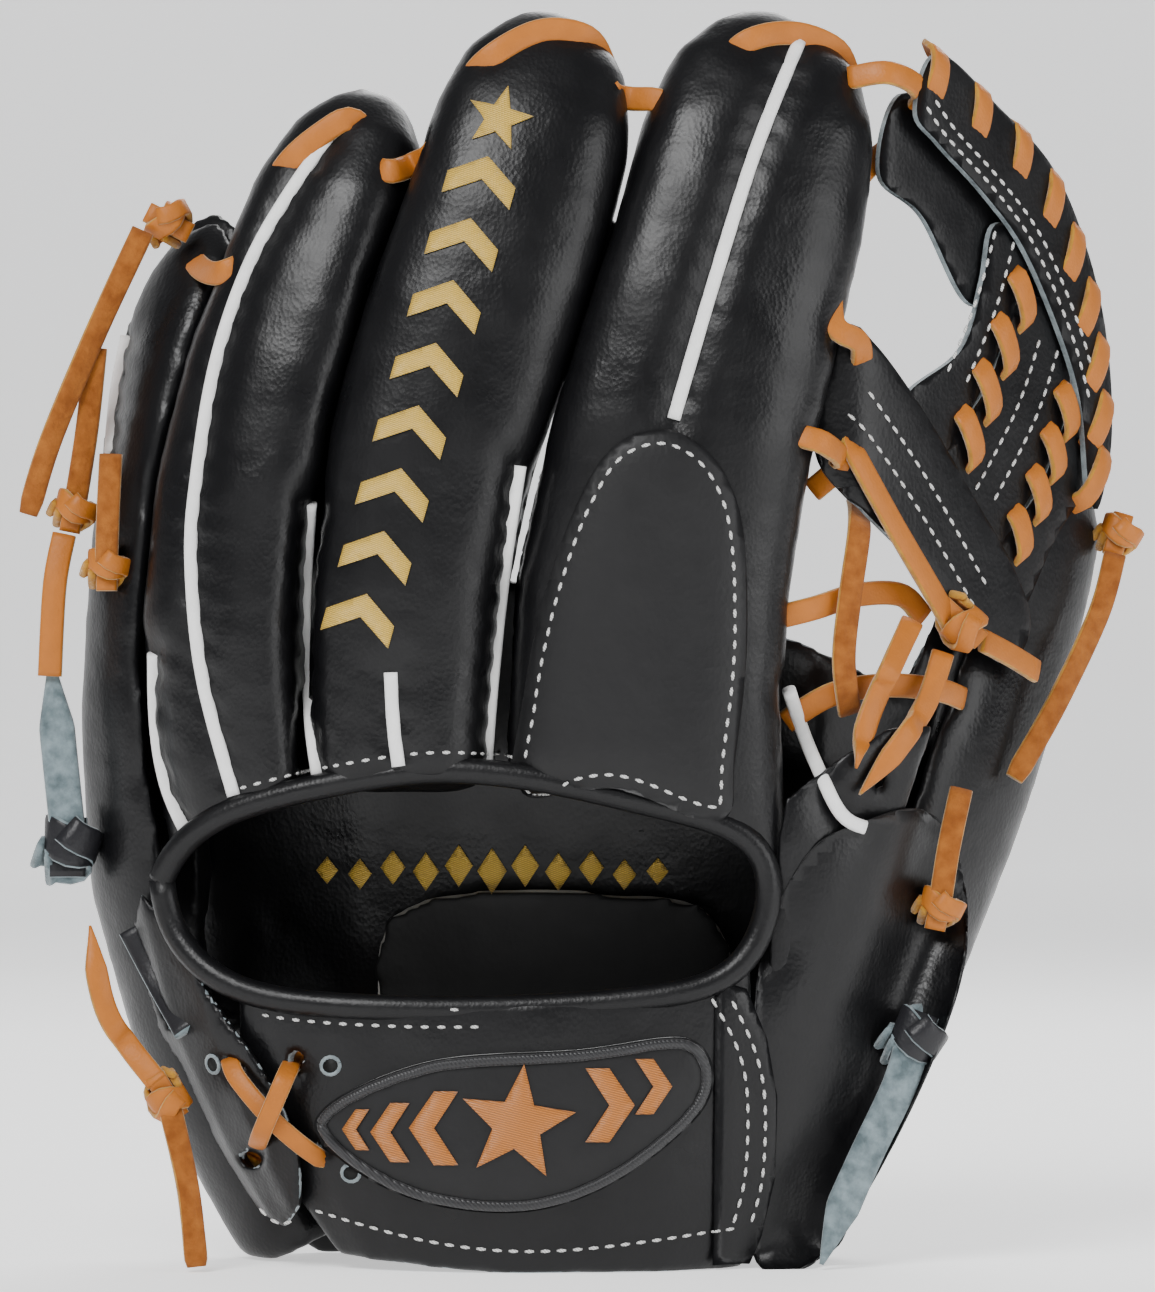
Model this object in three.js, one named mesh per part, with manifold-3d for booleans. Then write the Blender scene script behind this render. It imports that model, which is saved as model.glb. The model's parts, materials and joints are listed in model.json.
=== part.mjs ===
// A baseball fielder's glove for the left hand, standing on its heel. The back of the glove faces -Y and the
// pocket faces +Y, the fingers point up +Z and the thumb is on the +X side. Millimetres.
import * as THREE from "three";
import { mergeVertices } from "three/addons/utils/BufferGeometryUtils.js";
import Module from "manifold-3d";

const wasm = await Module();
wasm.setup();

// ---- driving dimensions -------------------------------------------------------------------------------------
const GAP = 0.35; // clearance left between pieces that touch
const LEATHER = 3.4; // shell leather with its lining
const FELT = 6; // felt pad behind the palm leather
const LINING = 2; // lining leather on the felt
const WELT = [3.2, 1.6]; // width and thickness of a welt
const LACE = [5.2, 2.2]; // width and thickness of a tan lace
const THROUGH = [3.8, 2]; // width and thickness of a lace drawn tight through holes
const WOUND_LACE = [1.5, 3.8]; // thickness and width of a lace wound round the web's leather
const HEEL_LACE = [8, 2]; // width and thickness of a black heel lace
const BINDING = 2.8; // radius of the rolled binding round the wrist opening
const WEB_LEATHER = 2.2; // one layer of the web
const HOLLOW_WALL = 5; // leather and padding round the hollow of a stall

// The thumb folds about a line from the heel up to the web. The plane through it parts the two sides.
const FOLD_POINT = [46.3, 62, 19.1];
const FOLD_NORMAL = [0.949, 0, -0.3146];
const FOLD_OFFSET = FOLD_NORMAL[0] * FOLD_POINT[0] + FOLD_NORMAL[2] * FOLD_POINT[2];
const FOLD_AXIS = [0.3145, 0.027, 0.949];
const FOLD_GAP = 0.6;
const FOLD_RANGE = 45;
const FOLD_STEP = 7.5;
const HEEL_DEPTH = 58.58; // from the design's zero to the middle of the palm leather's heel

// Each stall: a path up its middle, its half width, how far its back bulges, and how far that back turns from
// -Y towards +X, in degrees. The values are spread evenly from base to tip.
const STALLS = {
  index: {
    path: [[14, 13, 84], [15, 12, 122], [18, 12, 161], [28, 13, 200], [39, 20, 239], [43, 34, 277]],
    halfWidth: [32, 31, 30.5, 29, 27, 24],
    back: [12, 13, 14, 14, 13, 12],
    turn: [0, 0, 3, 6, 8, 8],
  },
  middle: {
    path: [[-38, 12, 84], [-39, 11, 122], [-36, 10, 161], [-26, 11, 200], [-13, 17, 239], [-4, 31, 277]],
    halfWidth: [20, 21.5, 22.5, 24, 23, 21],
    back: [12, 13, 13, 13, 13, 12],
    turn: [-5, -5, -5, -5, -4, -2],
  },
  ring: {
    path: [[-71, 22, 80], [-76, 20, 116], [-77, 19, 152], [-70, 20, 188], [-58, 25, 224], [-44, 37, 260]],
    halfWidth: [18, 19.5, 20, 20.5, 20, 18],
    back: [12, 13, 13, 13, 13, 12],
    turn: [-28, -28, -28, -26, -24, -20],
  },
  little: {
    path: [[-62, 42, 2], [-83, 41, 42], [-94, 40, 82], [-96, 38, 122], [-93, 38, 160], [-89, 43, 197], [-80, 53, 234]],
    halfWidth: [13, 16, 18, 19, 19, 18, 16],
    back: [11, 12, 12, 12, 12, 12, 11],
    turn: [-50, -55, -55, -55, -55, -52, -48],
  },
  thumb: {
    path: [[42, 38, 3], [55, 41, 36], [69, 47, 68], [82, 55, 100], [93, 64, 131], [102, 72, 159], [107, 79, 185]],
    halfWidth: [18, 22, 25, 25, 24, 22, 18],
    back: [12, 12, 12, 12, 12, 12, 12],
    turn: [40, 45, 50, 50, 48, 46, 44],
  },
};
const STALL_FRONT = 34; // how far a stall's section reaches towards the pocket before the palm cuts it
const DOME_FROM = 0.86; // share of a stall's length where its tip starts to round off
const SQUARENESS = 2.4; // exponent of the rounded sections

// The wrist tube under the fingers: its left, right and back, spread evenly from the standing surface up.
const WRIST = {
  height: 130,
  left: [-62, -76, -88, -96, -101, -104, -106],
  right: [44, 56, 65, 73, 82, 88, 92],
  back: [3, 0, -1, -1, 0, 0, 0],
  middle: 45,
};

// ---- shaping helpers ----------------------------------------------------------------------------------------
const vector = (p) => new THREE.Vector3(...p);
const lerp = THREE.MathUtils.lerp;
const radians = THREE.MathUtils.degToRad;
const smooth = THREE.MathUtils.smoothstep;
const squircle = (c) => Math.sign(c) * Math.abs(c) ** (2 / SQUARENESS);

/** The value at share v of an evenly spread list. */
function along(list, v) {
  const at = THREE.MathUtils.clamp(v, 0, 1) * (list.length - 1);
  const i = Math.min(Math.floor(at), list.length - 2);
  return lerp(list[i], list[i + 1], at - i);
}

/** A geometry with its shared points merged and each moved by place. */
function reshape(geometry, place) {
  geometry.deleteAttribute("normal");
  geometry.deleteAttribute("uv");
  const closed = mergeVertices(geometry, 1e-4);
  const position = closed.attributes.position;
  for (let i = 0; i < position.count; i++) {
    const q = place(new THREE.Vector3().fromBufferAttribute(position, i));
    position.setXYZ(i, q.x, q.y, q.z);
  }
  return closed;
}

/** A closed geometry as a solid that can be cut and joined. */
function solid(geometry) {
  const closed = geometry.attributes.uv ? reshape(geometry, (p) => p) : geometry;
  const mesh = { numProp: 3, vertProperties: closed.attributes.position.array };
  return new wasm.Manifold(new wasm.Mesh({ ...mesh, triVerts: new Uint32Array(closed.index.array) }));
}

/** An outline in X and Z, extruded from y = low to y = high. */
function prism(points, low = -60, high = 130) {
  const shape = new THREE.Shape(points.map(([x, z]) => new THREE.Vector2(x, z)));
  const body = new THREE.ExtrudeGeometry(shape, { depth: high - low, bevelEnabled: false, steps: 1 });
  return solid(body.rotateX(Math.PI / 2).translate(0, high, 0));
}

/** A smooth closed outline through a few points in X and Z. */
function rounded(points, count = 36) {
  const curve = new THREE.CatmullRomCurve3(points.map(([x, z]) => new THREE.Vector3(x, 0, z)), true);
  return curve.getSpacedPoints(count).slice(0, count).map((p) => [p.x, p.z]);
}

/** Everything behind the surface y = high(x, z), over the area given by its X and Z limits. */
function behind(high, [x0, x1, z0, z1] = [-125, 130, -5, 285], steps = 10) {
  const body = new THREE.BoxGeometry(1, 1, 1, steps, 1, steps);
  const place = (p) => {
    const x = lerp(x0, x1, p.x + 0.5);
    const z = lerp(z0, z1, p.z + 0.5);
    return new THREE.Vector3(x, p.y < 0 ? -60 : high(x, z), z);
  };
  return solid(reshape(body, place));
}

/** The space between two surfaces, over the same grid so that neighbouring layers follow each other. */
const between = (low, high, area, steps) => behind(high, area, steps).subtract(behind(low, area, steps));

/** A flat strip along a curve through points. Its flat side faces the way facing(share) points. */
function ribbon(points, [width, thick], facing, grow = 0, steps = Math.round(points.length * 1.5)) {
  const curve = new THREE.CatmullRomCurve3(points.map(vector));
  const body = new THREE.BoxGeometry(1, 1, 1, 1, 1, steps);
  const place = (p) => {
    const v = p.z + 0.5;
    const up = curve.getTangent(v);
    const out = vector(facing(v));
    out.addScaledVector(up, -out.dot(up)).normalize();
    const across = new THREE.Vector3().crossVectors(up, out);
    const centre = curve.getPoint(v).addScaledVector(up, grow * Math.sign(p.z) * (Math.abs(p.z) > 0.49 ? 1 : 0));
    return centre.addScaledVector(out, p.x * (thick + 2 * grow)).addScaledVector(across, p.y * (width + 2 * grow));
  };
  return solid(reshape(body, place));
}

/** A round cord along a curve through points. */
function cord(points, radius, steps = points.length * 2) {
  const ring = Array.from({ length: 8 }, (_, i) => (i * Math.PI) / 4);
  const shape = new THREE.Shape(ring.map((a) => new THREE.Vector2(radius * Math.cos(a), radius * Math.sin(a))));
  const extrudePath = new THREE.CatmullRomCurve3(points.map(vector));
  return solid(new THREE.ExtrudeGeometry(shape, { steps, extrudePath, bevelEnabled: false }));
}

/** A rounded lump, the size of a tied knot. */
function knot(centre, size, grow = 0) {
  return solid(new THREE.SphereGeometry(1, 8, 6)).scale(size.map((r) => r + grow)).translate(centre);
}

// ---- stalls -------------------------------------------------------------------------------------------------
/** The frame of a stall's section at share v: its centre, and unit vectors along, across and to the back. */
function section(stall, v) {
  const curve = new THREE.CatmullRomCurve3(stall.path.map(vector));
  const up = curve.getTangent(v);
  const turn = radians(along(stall.turn, v));
  const facing = new THREE.Vector3(Math.sin(turn), -Math.cos(turn), 0);
  facing.addScaledVector(up, -facing.dot(up)).normalize();
  return { centre: curve.getPoint(v), up, facing, across: new THREE.Vector3().crossVectors(up, facing) };
}

/** How much of its full section a stall has at share v, so that its tip is a dome. */
function dome(v) {
  const t = Math.max(0, (v - DOME_FROM) / (1 - DOME_FROM));
  return Math.max(0.2, (1 - t ** 2.2) ** (1 / 2.2));
}

/** A stall as a solid, swollen by grow, from share first to share last of its length. */
function stallSolid(stall, { grow = 0, front = STALL_FRONT, first = 0, last = 1, sides = 14, steps = 9 } = {}) {
  const place = (p) => {
    const v = lerp(first, last, Math.sin(((p.y + 0.5) * Math.PI) / 2));
    const { centre, facing, across } = section(stall, v);
    if (Math.hypot(p.x, p.z) < 0.5) return centre;
    const a = Math.atan2(p.z, p.x);
    const s = squircle(Math.sin(a));
    const deep = (s > 0 ? along(stall.back, v) : front) * dome(v) + grow;
    const wide = along(stall.halfWidth, v) * dome(v) + grow;
    return centre.addScaledVector(across, wide * squircle(Math.cos(a))).addScaledVector(facing, deep * s);
  };
  return solid(reshape(new THREE.CylinderGeometry(1, 1, 1, sides, steps), place));
}

/** The hollow a finger slides into. */
function hollow(stall) {
  return stallSolid(stall, { grow: -HOLLOW_WALL, front: 14, last: 0.8, sides: 8, steps: 3 });
}

// ---- surfaces -----------------------------------------------------------------------------------------------
/** Depth of the inner face of the palm leather at (x, z). */
function palm(x, z) {
  const spine = along([57, 56, 50, 41, 33, 27, 26, 32, 46], z / 280);
  const littleSide = 0.0042 * Math.max(0, -18 - x) ** 2;
  const thumbSide = 0.0115 * Math.max(0, x - 40) ** 2 * smooth(z, 10, 70);
  const pocket = 9 * Math.exp(-(((x - 58) / 30) ** 2) - ((z - 120) / 38) ** 2);
  return spine + littleSide * smooth(z, 20, 90) + thumbSide - pocket;
}

/** Depth of the web's middle at x: it sweeps from the index finger's edge to the thumb's tip. */
function web(x) {
  return 20 + 52 * THREE.MathUtils.clamp((x - 60) / 58, 0, 1.2) ** 1.2;
}

/** The half section of the wrist tube at height z: left, right and back. */
function wristAt(z) {
  const v = z / WRIST.height;
  return { left: along(WRIST.left, v), right: along(WRIST.right, v), back: along(WRIST.back, v) };
}

/** Depth of the back of the wrist tube at (x, z). */
function wristBack(x, z) {
  const { left, right, back } = wristAt(z);
  const t = Math.min(1, Math.abs((2 * x - left - right) / (right - left)));
  return WRIST.middle - (WRIST.middle - back) * (1 - t ** SQUARENESS) ** (1 / SQUARENESS);
}

/** The wrist tube as a solid swollen by grow, cut off behind the palm. */
function wristSolid(grow, low = 0, high = WRIST.height) {
  const place = (p) => {
    const z = lerp(low, high, p.y + 0.5);
    const { left, right, back } = wristAt(z);
    const x = (left + right) / 2;
    if (Math.hypot(p.x, p.z) < 0.5) return new THREE.Vector3(x, WRIST.middle, z);
    const a = Math.atan2(p.z, p.x);
    const wide = (right - left) / 2 + grow;
    const deep = WRIST.middle - back + grow;
    return new THREE.Vector3(x + wide * squircle(Math.cos(a)), WRIST.middle - deep * squircle(Math.sin(a)), z);
  };
  return solid(reshape(new THREE.CylinderGeometry(1, 1, 1, 28, 5), place));
}

/** A layer of leather on the wrist tube between two swellings. */
const wristLayer = (outer, inner) => wristSolid(outer).subtract(wristSolid(inner, -1, WRIST.height + 1));

/** A layer of the web with a given outline, between two depths from the web's middle. */
function webPiece(outline, from, to) {
  const area = [45, 124, 128, 272];
  return between((x) => web(x) + from, (x) => web(x) + to, area, 6).intersect(prism(outline));
}

/** A layer behind the palm, between two depths from the palm leather. */
const palmLayer = (from, to) => between((x, z) => palm(x, z) + from, (x, z) => palm(x, z) + to);

const behindPalm = behind((x, z) => palm(x, z) - GAP);
const palmSheet = palmLayer(0, LEATHER);
const handSide = (body) => body.trimByPlane(FOLD_NORMAL.map((n) => -n), FOLD_GAP / 2 - FOLD_OFFSET);
const thumbSide = (body) => body.trimByPlane(FOLD_NORMAL, FOLD_OFFSET + FOLD_GAP / 2);
const ground = (body) => body.trimByPlane([0, 0, 1], 0);

// ---- the shell ----------------------------------------------------------------------------------------------
const pieces = {}; // every piece of the glove by name
const rooms = {}; // the space some of them need, with their clearance, firmest piece first

/** Add a piece that makes room for itself in whatever it touches. */
function place(name, make) {
  pieces[name] = make(0);
  rooms[name] = make(1.4 * GAP).add(make(0));
}

const OPENING = [
  [-90, 82], [-87, 91], [-73, 100], [-38, 107.5], [-15, 107], [10, 102], [35, 95], [41, 86],
  [36, 69], [24, 63], [-5, 60], [-40, 59.5], [-70, 62], [-84, 70],
];
const opening = rounded(OPENING, 28);
const openingCut = prism(opening, -60, 34);

// The space the wrist and the palm of the hand fill, open below, with a way through to the thumb.
const thumbEntry = cord([[30, 28, 66], [52, 38, 74], [74, 48, 84]], 8, 2);
const roomAt = (area) => between((x, z) => wristBack(x, z) + 9, (x, z) => palm(x, z) - GAP, area, 4);
const handSpace = roomAt([-52, 36, -1, 56]).add(roomAt([-84, 38, 55, 104])).add(thumbEntry);

const stalls = {
  middle_finger: stallSolid(STALLS.middle),
  index_finger: stallSolid(STALLS.index).subtract(stallSolid(STALLS.middle, { grow: GAP })),
  ring_finger: stallSolid(STALLS.ring).subtract(stallSolid(STALLS.middle, { grow: GAP })),
  little_finger: ground(stallSolid(STALLS.little)).subtract(stallSolid(STALLS.ring, { grow: GAP })),
  thumb_stall: ground(thumbSide(stallSolid(STALLS.thumb))),
};
const stallOf = {
  middle_finger: STALLS.middle,
  index_finger: STALLS.index,
  ring_finger: STALLS.ring,
  little_finger: STALLS.little,
  thumb_stall: STALLS.thumb,
};
const fingers = stalls.middle_finger.add(stalls.index_finger).add(stalls.ring_finger).add(stalls.little_finger);
for (const [name, body] of Object.entries(stalls)) {
  pieces[name] = body.intersect(behindPalm).subtract(hollow(stallOf[name]).add(handSpace)).subtract(openingCut);
}

// The palm leather covers the stalls' fronts and the heel, in one sheet that folds along the thumb's line.
const heelOutline = rounded([
  [-54, -4], [-74, 18], [-92, 50], [-101, 85], [-100, 120], [-60, 150], [0, 150], [45, 140], [75, 125], [92, 105],
  [80, 66], [62, 28], [44, -4], [0, -8],
], 40);
const sheet = ground(fingers.add(stallSolid(STALLS.thumb)).add(prism(heelOutline)).intersect(palmSheet));
pieces.palm_leather = handSide(sheet);
pieces.thumb_leather = thumbSide(sheet);

// A felt pad and its lining lie behind the palm leather, in the space for the hand.
const padOutline = rounded([[-40, 5], [-43, 40], [-43, 76], [0, 82], [33, 76], [31, 40], [26, 5]], 24);
pieces.felt_pad = ground(palmLayer(-FELT - GAP, -GAP).intersect(prism(padOutline)));
const liningLayer = palmLayer(-FELT - LINING - 2 * GAP, -FELT - 2 * GAP);
pieces.palm_lining = ground(liningLayer.intersect(prism(padOutline)));

// ---- the wrist ----------------------------------------------------------------------------------------------
const strapLayer = wristLayer(0, -4).intersect(behindPalm);
const strapOutline = [[-74, 61], [-74, 34], [-60, 14], [-52, 3], [-20, 0], [37, 0], [38, 30], [38, 80], [-74, 80]];
const tabOutline = rounded([
  [-96, 82], [-90, 77], [-80, 60], [-66, 40], [-60.5, 25], [-61, 12], [-66, 8], [-72, 14], [-84, 34], [-98, 60],
], 24);
const outsideStalls = stallSolid(STALLS.little, { grow: GAP }).add(stallSolid(STALLS.ring, { grow: GAP }));
pieces.wrist_strap = strapLayer.intersect(prism(strapOutline, -60, 26)).subtract(openingCut).subtract(outsideStalls);
pieces.strap_tab = wristLayer(4.2, GAP).intersect(prism(tabOutline, -60, 40)).subtract(openingCut);
pieces.strap_tab = pieces.strap_tab.subtract(outsideStalls);

const patchOutline = rounded([[-56, 32], [-34, 46], [0, 48], [24, 50], [27, 36], [8, 20], [-14, 14], [-40, 18]], 28);
pieces.strap_patch = wristLayer(2.2, GAP).intersect(prism(patchOutline, -60, 30));

const sideOutline = [[38.4, 0], [60, 0], [110, 127], [66, 122], [46, 108], [38.4, 104]];
const besideIndex = stallSolid(STALLS.index, { grow: GAP });
const sidePanel = wristLayer(0, -4).intersect(behindPalm).intersect(prism(sideOutline, -60, 90));
pieces.thumb_side_panel = handSide(sidePanel).subtract(besideIndex).subtract(openingCut);

/** A rolled edge that follows the wrist opening all the way round. */
function openingBinding(grow) {
  const curve = new THREE.CatmullRomCurve3(OPENING.map(([x, z]) => new THREE.Vector3(x, 0, z)), true);
  const place = (p) => {
    const v = Math.atan2(p.y, p.x) / (2 * Math.PI);
    const along = curve.getTangentAt((v + 1) % 1);
    const inward = new THREE.Vector3(along.z, 0, -along.x).normalize();
    const side = Math.hypot(p.x, p.y) - 4;
    const edge = curve.getPointAt((v + 1) % 1).addScaledVector(inward, 1.1 * BINDING + side * (BINDING + grow));
    edge.y = wristBack(edge.x, edge.z) + 0.6 - p.z * (BINDING + grow);
    return edge;
  };
  return solid(reshape(new THREE.TorusGeometry(4, 0.88, 8, 30), place));
}
place("opening_binding", openingBinding);

// The stitched pad on the back of the index finger.
const fingerPad = rounded([
  [-12, 104], [-11, 125], [-6.5, 148], [0.5, 168], [8, 180], [18, 183.5], [27, 180], [33, 172], [36, 160],
  [36.5, 136], [34, 112], [31, 98], [8, 106],
], 28);
const padLayer = stallSolid(STALLS.index, { grow: 2.2 }).subtract(stallSolid(STALLS.index, { grow: GAP }));
pieces.index_pad = padLayer.intersect(prism(fingerPad, -60, 12)).subtract(stallSolid(STALLS.middle, { grow: GAP }));
pieces.index_pad = pieces.index_pad.subtract(openingCut);

// ---- welts --------------------------------------------------------------------------------------------------
const named = (name, body) => {
  const m = body.getMesh();
  const geometry = new THREE.BufferGeometry();
  geometry.setAttribute("position", new THREE.BufferAttribute(m.vertProperties, 3));
  geometry.setIndex(new THREE.BufferAttribute(m.triVerts, 1));
  const mesh = new THREE.Mesh(geometry, new THREE.MeshStandardMaterial({ side: THREE.DoubleSide }));
  mesh.name = name;
  return mesh;
};
const backs = named("backs", fingers.add(stallSolid(STALLS.thumb)).add(wristSolid(0).intersect(behindPalm)));
const ray = new THREE.Raycaster();

/** Depth of the glove's back at (x, z), looked at from behind it. */
function backAt(x, z) {
  ray.set(new THREE.Vector3(x, -100, z), new THREE.Vector3(0, 1, 0));
  const hit = ray.intersectObject(backs)[0];
  return hit ? hit.point.y : wristBack(x, z);
}

const WELTS = {
  welt_little_outer: [[-101, 206], [-103.5, 192], [-104, 180]],
  welt_ring_little: [[-55, 249], [-70, 225], [-79, 200], [-83.5, 172], [-84.5, 155], [-82, 130], [-75, 104]],
  welt_little_base: [[-93, 135], [-93, 120], [-90.5, 106], [-86, 96]],
  welt_ring_middle: [[-58.5, 168], [-60, 146], [-59, 126], [-56.5, 108]],
  welt_middle_base: [[-40.5, 131], [-40, 120], [-38.8, 110.5]],
  welt_middle_index: [[-12.5, 176], [-16, 153], [-18.5, 130], [-20, 110.5]],
  welt_index: [[49, 270], [39, 245], [29.5, 215], [21, 186]],
  welt_thumb: [[46.5, 127], [52, 112], [58, 99], [63, 97]],
};
const toBack = () => [0, -1, 0];
for (const [name, line] of Object.entries(WELTS)) {
  place(name, (grow) => ribbon(line.map(([x, z]) => [x, backAt(x, z) - 0.2, z]), WELT, toBack, grow));
}

// ---- the web ------------------------------------------------------------------------------------------------
const BAR_EDGE = [[78, 268], [92, 257], [105, 244], [113.5, 225], [118, 205], [119, 184], [116, 168.5]];
const barOutline = [...BAR_EDGE, [113.5, 171], [111.5, 191], [107, 206], [98, 225.5], [88.5, 237.5], [78, 248], [73, 255]];
const half = WEB_LEATHER / 2;
const innerOutline = [
  [73, 259], [88, 252], [104, 236], [110, 216], [112, 204], [107, 200], [97, 212], [88, 214], [78, 232], [68, 241],
];
const lowerOutline = [
  [58, 206], [64, 203], [75, 188], [86, 170], [95, 155], [99.5, 142], [95, 133], [88, 137], [76, 152], [61, 167],
  [52, 181],
];
const STRIPS = {
  web_strip_1: [[93, 231], [90, 217.5], [85, 202.5], [72, 191], [78, 176], [90.6, 195.5], [98.3, 214.5], [102, 228]],
  web_strip_2: [[99, 214.5], [91.4, 195.2], [79, 174], [88, 153], [102.5, 172.5], [109.8, 189.4], [111, 210]],
  web_strip_3: [[107, 181], [103.3, 171.7], [89, 151], [95, 137], [105, 160], [108, 170], [109, 177]],
};
place("web_top_bar", (grow) => webPiece(barOutline, -WEB_LEATHER - half - GAP - grow, -half - GAP + grow));
place("web_lower_bar", (grow) =>
  webPiece(lowerOutline, -WEB_LEATHER - half - GAP - grow, -half - GAP + grow),
);
pieces.web_inner_bar = webPiece(innerOutline, half + GAP, half + GAP + WEB_LEATHER);
for (const [name, outline] of Object.entries(STRIPS)) {
  pieces[name] = webPiece(outline, -half, half);
}

// ---- laces --------------------------------------------------------------------------------------------------
/** Points on the back of the glove, each given as x, z and how far it lies behind (below 0) that surface. */
const onBack = (points) => points.map(([x, z, deep]) => [x, backAt(x, z) + deep, z]);

/** Points on the web, each given as x, z and its depth from the web's middle. */
const onWeb = (points) => points.map(([x, z, deep]) => [x, web(x) + deep, z]);

/** A lace wound round a line on the web. Each turn shows across, a step in X and Z, and dips by deep. */
function coil(line, turns, across, deep, grow) {
  const curve = new THREE.CatmullRomCurve3(line.map(([x, z]) => new THREE.Vector3(x, 0, z)));
  const count = turns * 6 + 3;
  const points = Array.from({ length: count + 1 }, (_, i) => {
    const a = (2 * Math.PI * i) / 6;
    const centre = curve.getPoint(i / count);
    const x = centre.x - across[0] * Math.cos(a);
    return [x, web(x) - deep * Math.sin(a), centre.z - across[1] * Math.cos(a)];
  });
  const facing = (v) => {
    const way = curve.getTangent(v);
    return [way.x, way.x * 0.9, way.z];
  };
  return ribbon(points, WOUND_LACE, facing, 1.4 * grow, count);
}

// One lace runs through every fingertip, from the knot on the little finger to the top of the web.
place("fingertip_lace", (grow) =>
  ribbon(
    onBack([
      [-88, 228, 6], [-84, 221, -1], [-78, 219, -1.5], [-71, 224, 6], [-67, 238, 7], [-63, 244, -0.6],
      [-56, 250, -1.2], [-50, 253, -0.6], [-46, 249, 7], [-45, 243, 5], [-41, 241, -1.5],
      [-36, 243, -1.5], [-31, 246, 5], [-25, 259, 7], [-19, 266, -0.6], [-8, 272, -1], [2, 271, -0.6],
      [6, 265, 7], [7, 259, 3], [11, 257.5, -1.6], [17, 257, -1.6], [22, 256, 6], [31, 264, 7],
      [38, 270, -0.6], [48, 272, -1], [57, 269, -0.6], [60, 264, 7],
    ]),
    LACE,
    toBack,
    grow,
  ),
);

place("web_spiral_lace", (grow) =>
  coil(BAR_EDGE.map(([x, z]) => [x - 3.4, z - 2.6]), 9, [-4.2, -3.6], 3.9, grow),
);
place("web_row_a_lace", (grow) => coil([[99.4, 217], [91.3, 196], [83, 175]], 4, [4.2, -8.6], 3.4, grow));
place("web_row_b_lace", (grow) => coil([[110, 192], [103, 172], [94.5, 155]], 4, [3.6, -6.8], 3.1, grow));

// Laces that tie the web to the side of the index finger.
place("web_attach_lace", (grow) =>
  ribbon(
    [
      [60, 24, 262], [69, 22, 263], [76, 29, 259], [72, 36, 250], [62, 27, 240], [57, 20, 226],
      [56, 12, 208], [62, 14, 203], [61, 22, 196], [52, 18, 192], [47, 9, 184], [54, 8, 181],
      [58, 16, 177], [52, 22, 171],
    ],
    LACE, (v) => [0.5 * Math.sin(v * 20), -1, 0.3],
    grow,
  ),
);
place("web_tie_lace", (grow) =>
  ribbon(
    onWeb([[60, 182, 3], [61, 179, -4.5], [70, 163, -6], [80, 146.5, -6.5], [83, 141, -5]]),
    LACE,
    () => [1, -1, 0.4],
    grow,
  ),
);
place("web_knot", (grow) => knot([85, web(85) - 7.5, 142], [7, 4.5, 5.5], grow));
place("web_tie_tail", (grow) =>
  ribbon(onWeb([[90, 138, -8], [97, 134.5, -7], [103, 131, -6]]), LACE, () => [1, -1, 0], grow),
);
place("crotch_lace_upper", (grow) =>
  ribbon(
    [
      [44, 12, 143], [52, 14, 145], [62, 24, 148], [72, 33, 148], [77, 38, 143],
    ],
    LACE, () => [0.6, -1, 0],
    grow,
  ),
);
place("crotch_lace_lower", (grow) =>
  ribbon(
    [
      [46, 22, 120], [56, 20, 126], [68, 26, 128], [80, 34, 127], [86, 44, 125],
    ],
    LACE, () => [0.5, -1, 0],
    grow,
  ),
);
place("crotch_lace_cross", (grow) =>
  ribbon(
    [
      [62, 30, 168], [62, 18, 162], [60, 16, 148], [58.5, 14, 134], [60, 20, 122],
    ],
    LACE, () => [0.3, -1, 0],
    grow,
  ),
);
place("web_tail_left", (grow) =>
  ribbon([[74, 26, 142], [69, 20, 132], [64, 15, 121], [61, 12, 110]], LACE, () => [0.5, -1, 0], grow),
);
place("web_tail_right", (grow) =>
  ribbon([[81, 30, 135], [77, 25, 124], [71, 20, 114], [64, 14, 104]], LACE, () => [0.5, -1, 0], grow),
);

// Knots and loose ends.
place("little_tip_knot", (grow) => knot([-91, 40, 231], [6, 4.5, 5], grow));
place("little_tip_tail", (grow) =>
  ribbon([[-96.5, 36, 229], [-107, 34, 206], [-117, 34, 182], [-122, 36, 166]], LACE, toBack, grow),
);
place("thumb_tip_knot", (grow) => knot([123, 74, 162], [5.5, 4.5, 5], grow));
place("thumb_tip_tail", (grow) =>
  ribbon([[122, 69, 157.5], [118, 65, 144], [108, 56, 124], [98, 50, 107]], LACE, toBack, grow),
);
place("little_side_knot", (grow) =>
  knot([-104, 28, 154], [5, 4.5, 5], grow).add(ribbon([[-104, 26, 154], [-103.5, 24, 166], [-103, 26, 179]], LACE, toBack, grow)),
);
place("little_strand_knot", (grow) =>
  knot([-112, 38, 167], [5, 4.5, 5], grow).add(ribbon([[-112, 37, 166], [-109, 37, 185], [-107, 36, 203]], [3.4, 2], toBack, grow)),
);
place("little_strand_tail", (grow) =>
  ribbon([[-114, 36, 161.5], [-116, 34, 150], [-117, 33, 130]], LACE, toBack, grow),
);
place("wrist_knot", (grow) => knot([-90, 14, 38], [5.5, 4.5, 5], grow));
place("wrist_tail_up", (grow) =>
  ribbon([[-94, 13, 43], [-103, 18, 56], [-107, 24, 75]], LACE, toBack, grow),
);
place("wrist_tail_down", (grow) =>
  ribbon([[-88, 12, 32.5], [-85, 8, 18], [-83, 6, 0.5]], LACE, toBack, grow),
);
place("thumb_side_knot", (grow) =>
  knot([80, 26, 79], [5.5, 4.5, 5], grow).add(ribbon([[80, 24, 79], [82, 24, 92], [85, 28, 105]], LACE, toBack, grow)),
);
place("heel_knot_little", (grow) =>
  knot([-113, 34, 92], [6, 6, 12], grow).add(ribbon([[-113, 32, 96], [-115, 32, 115], [-117, 36, 134]], HEEL_LACE, toBack, grow)),
);
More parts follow.
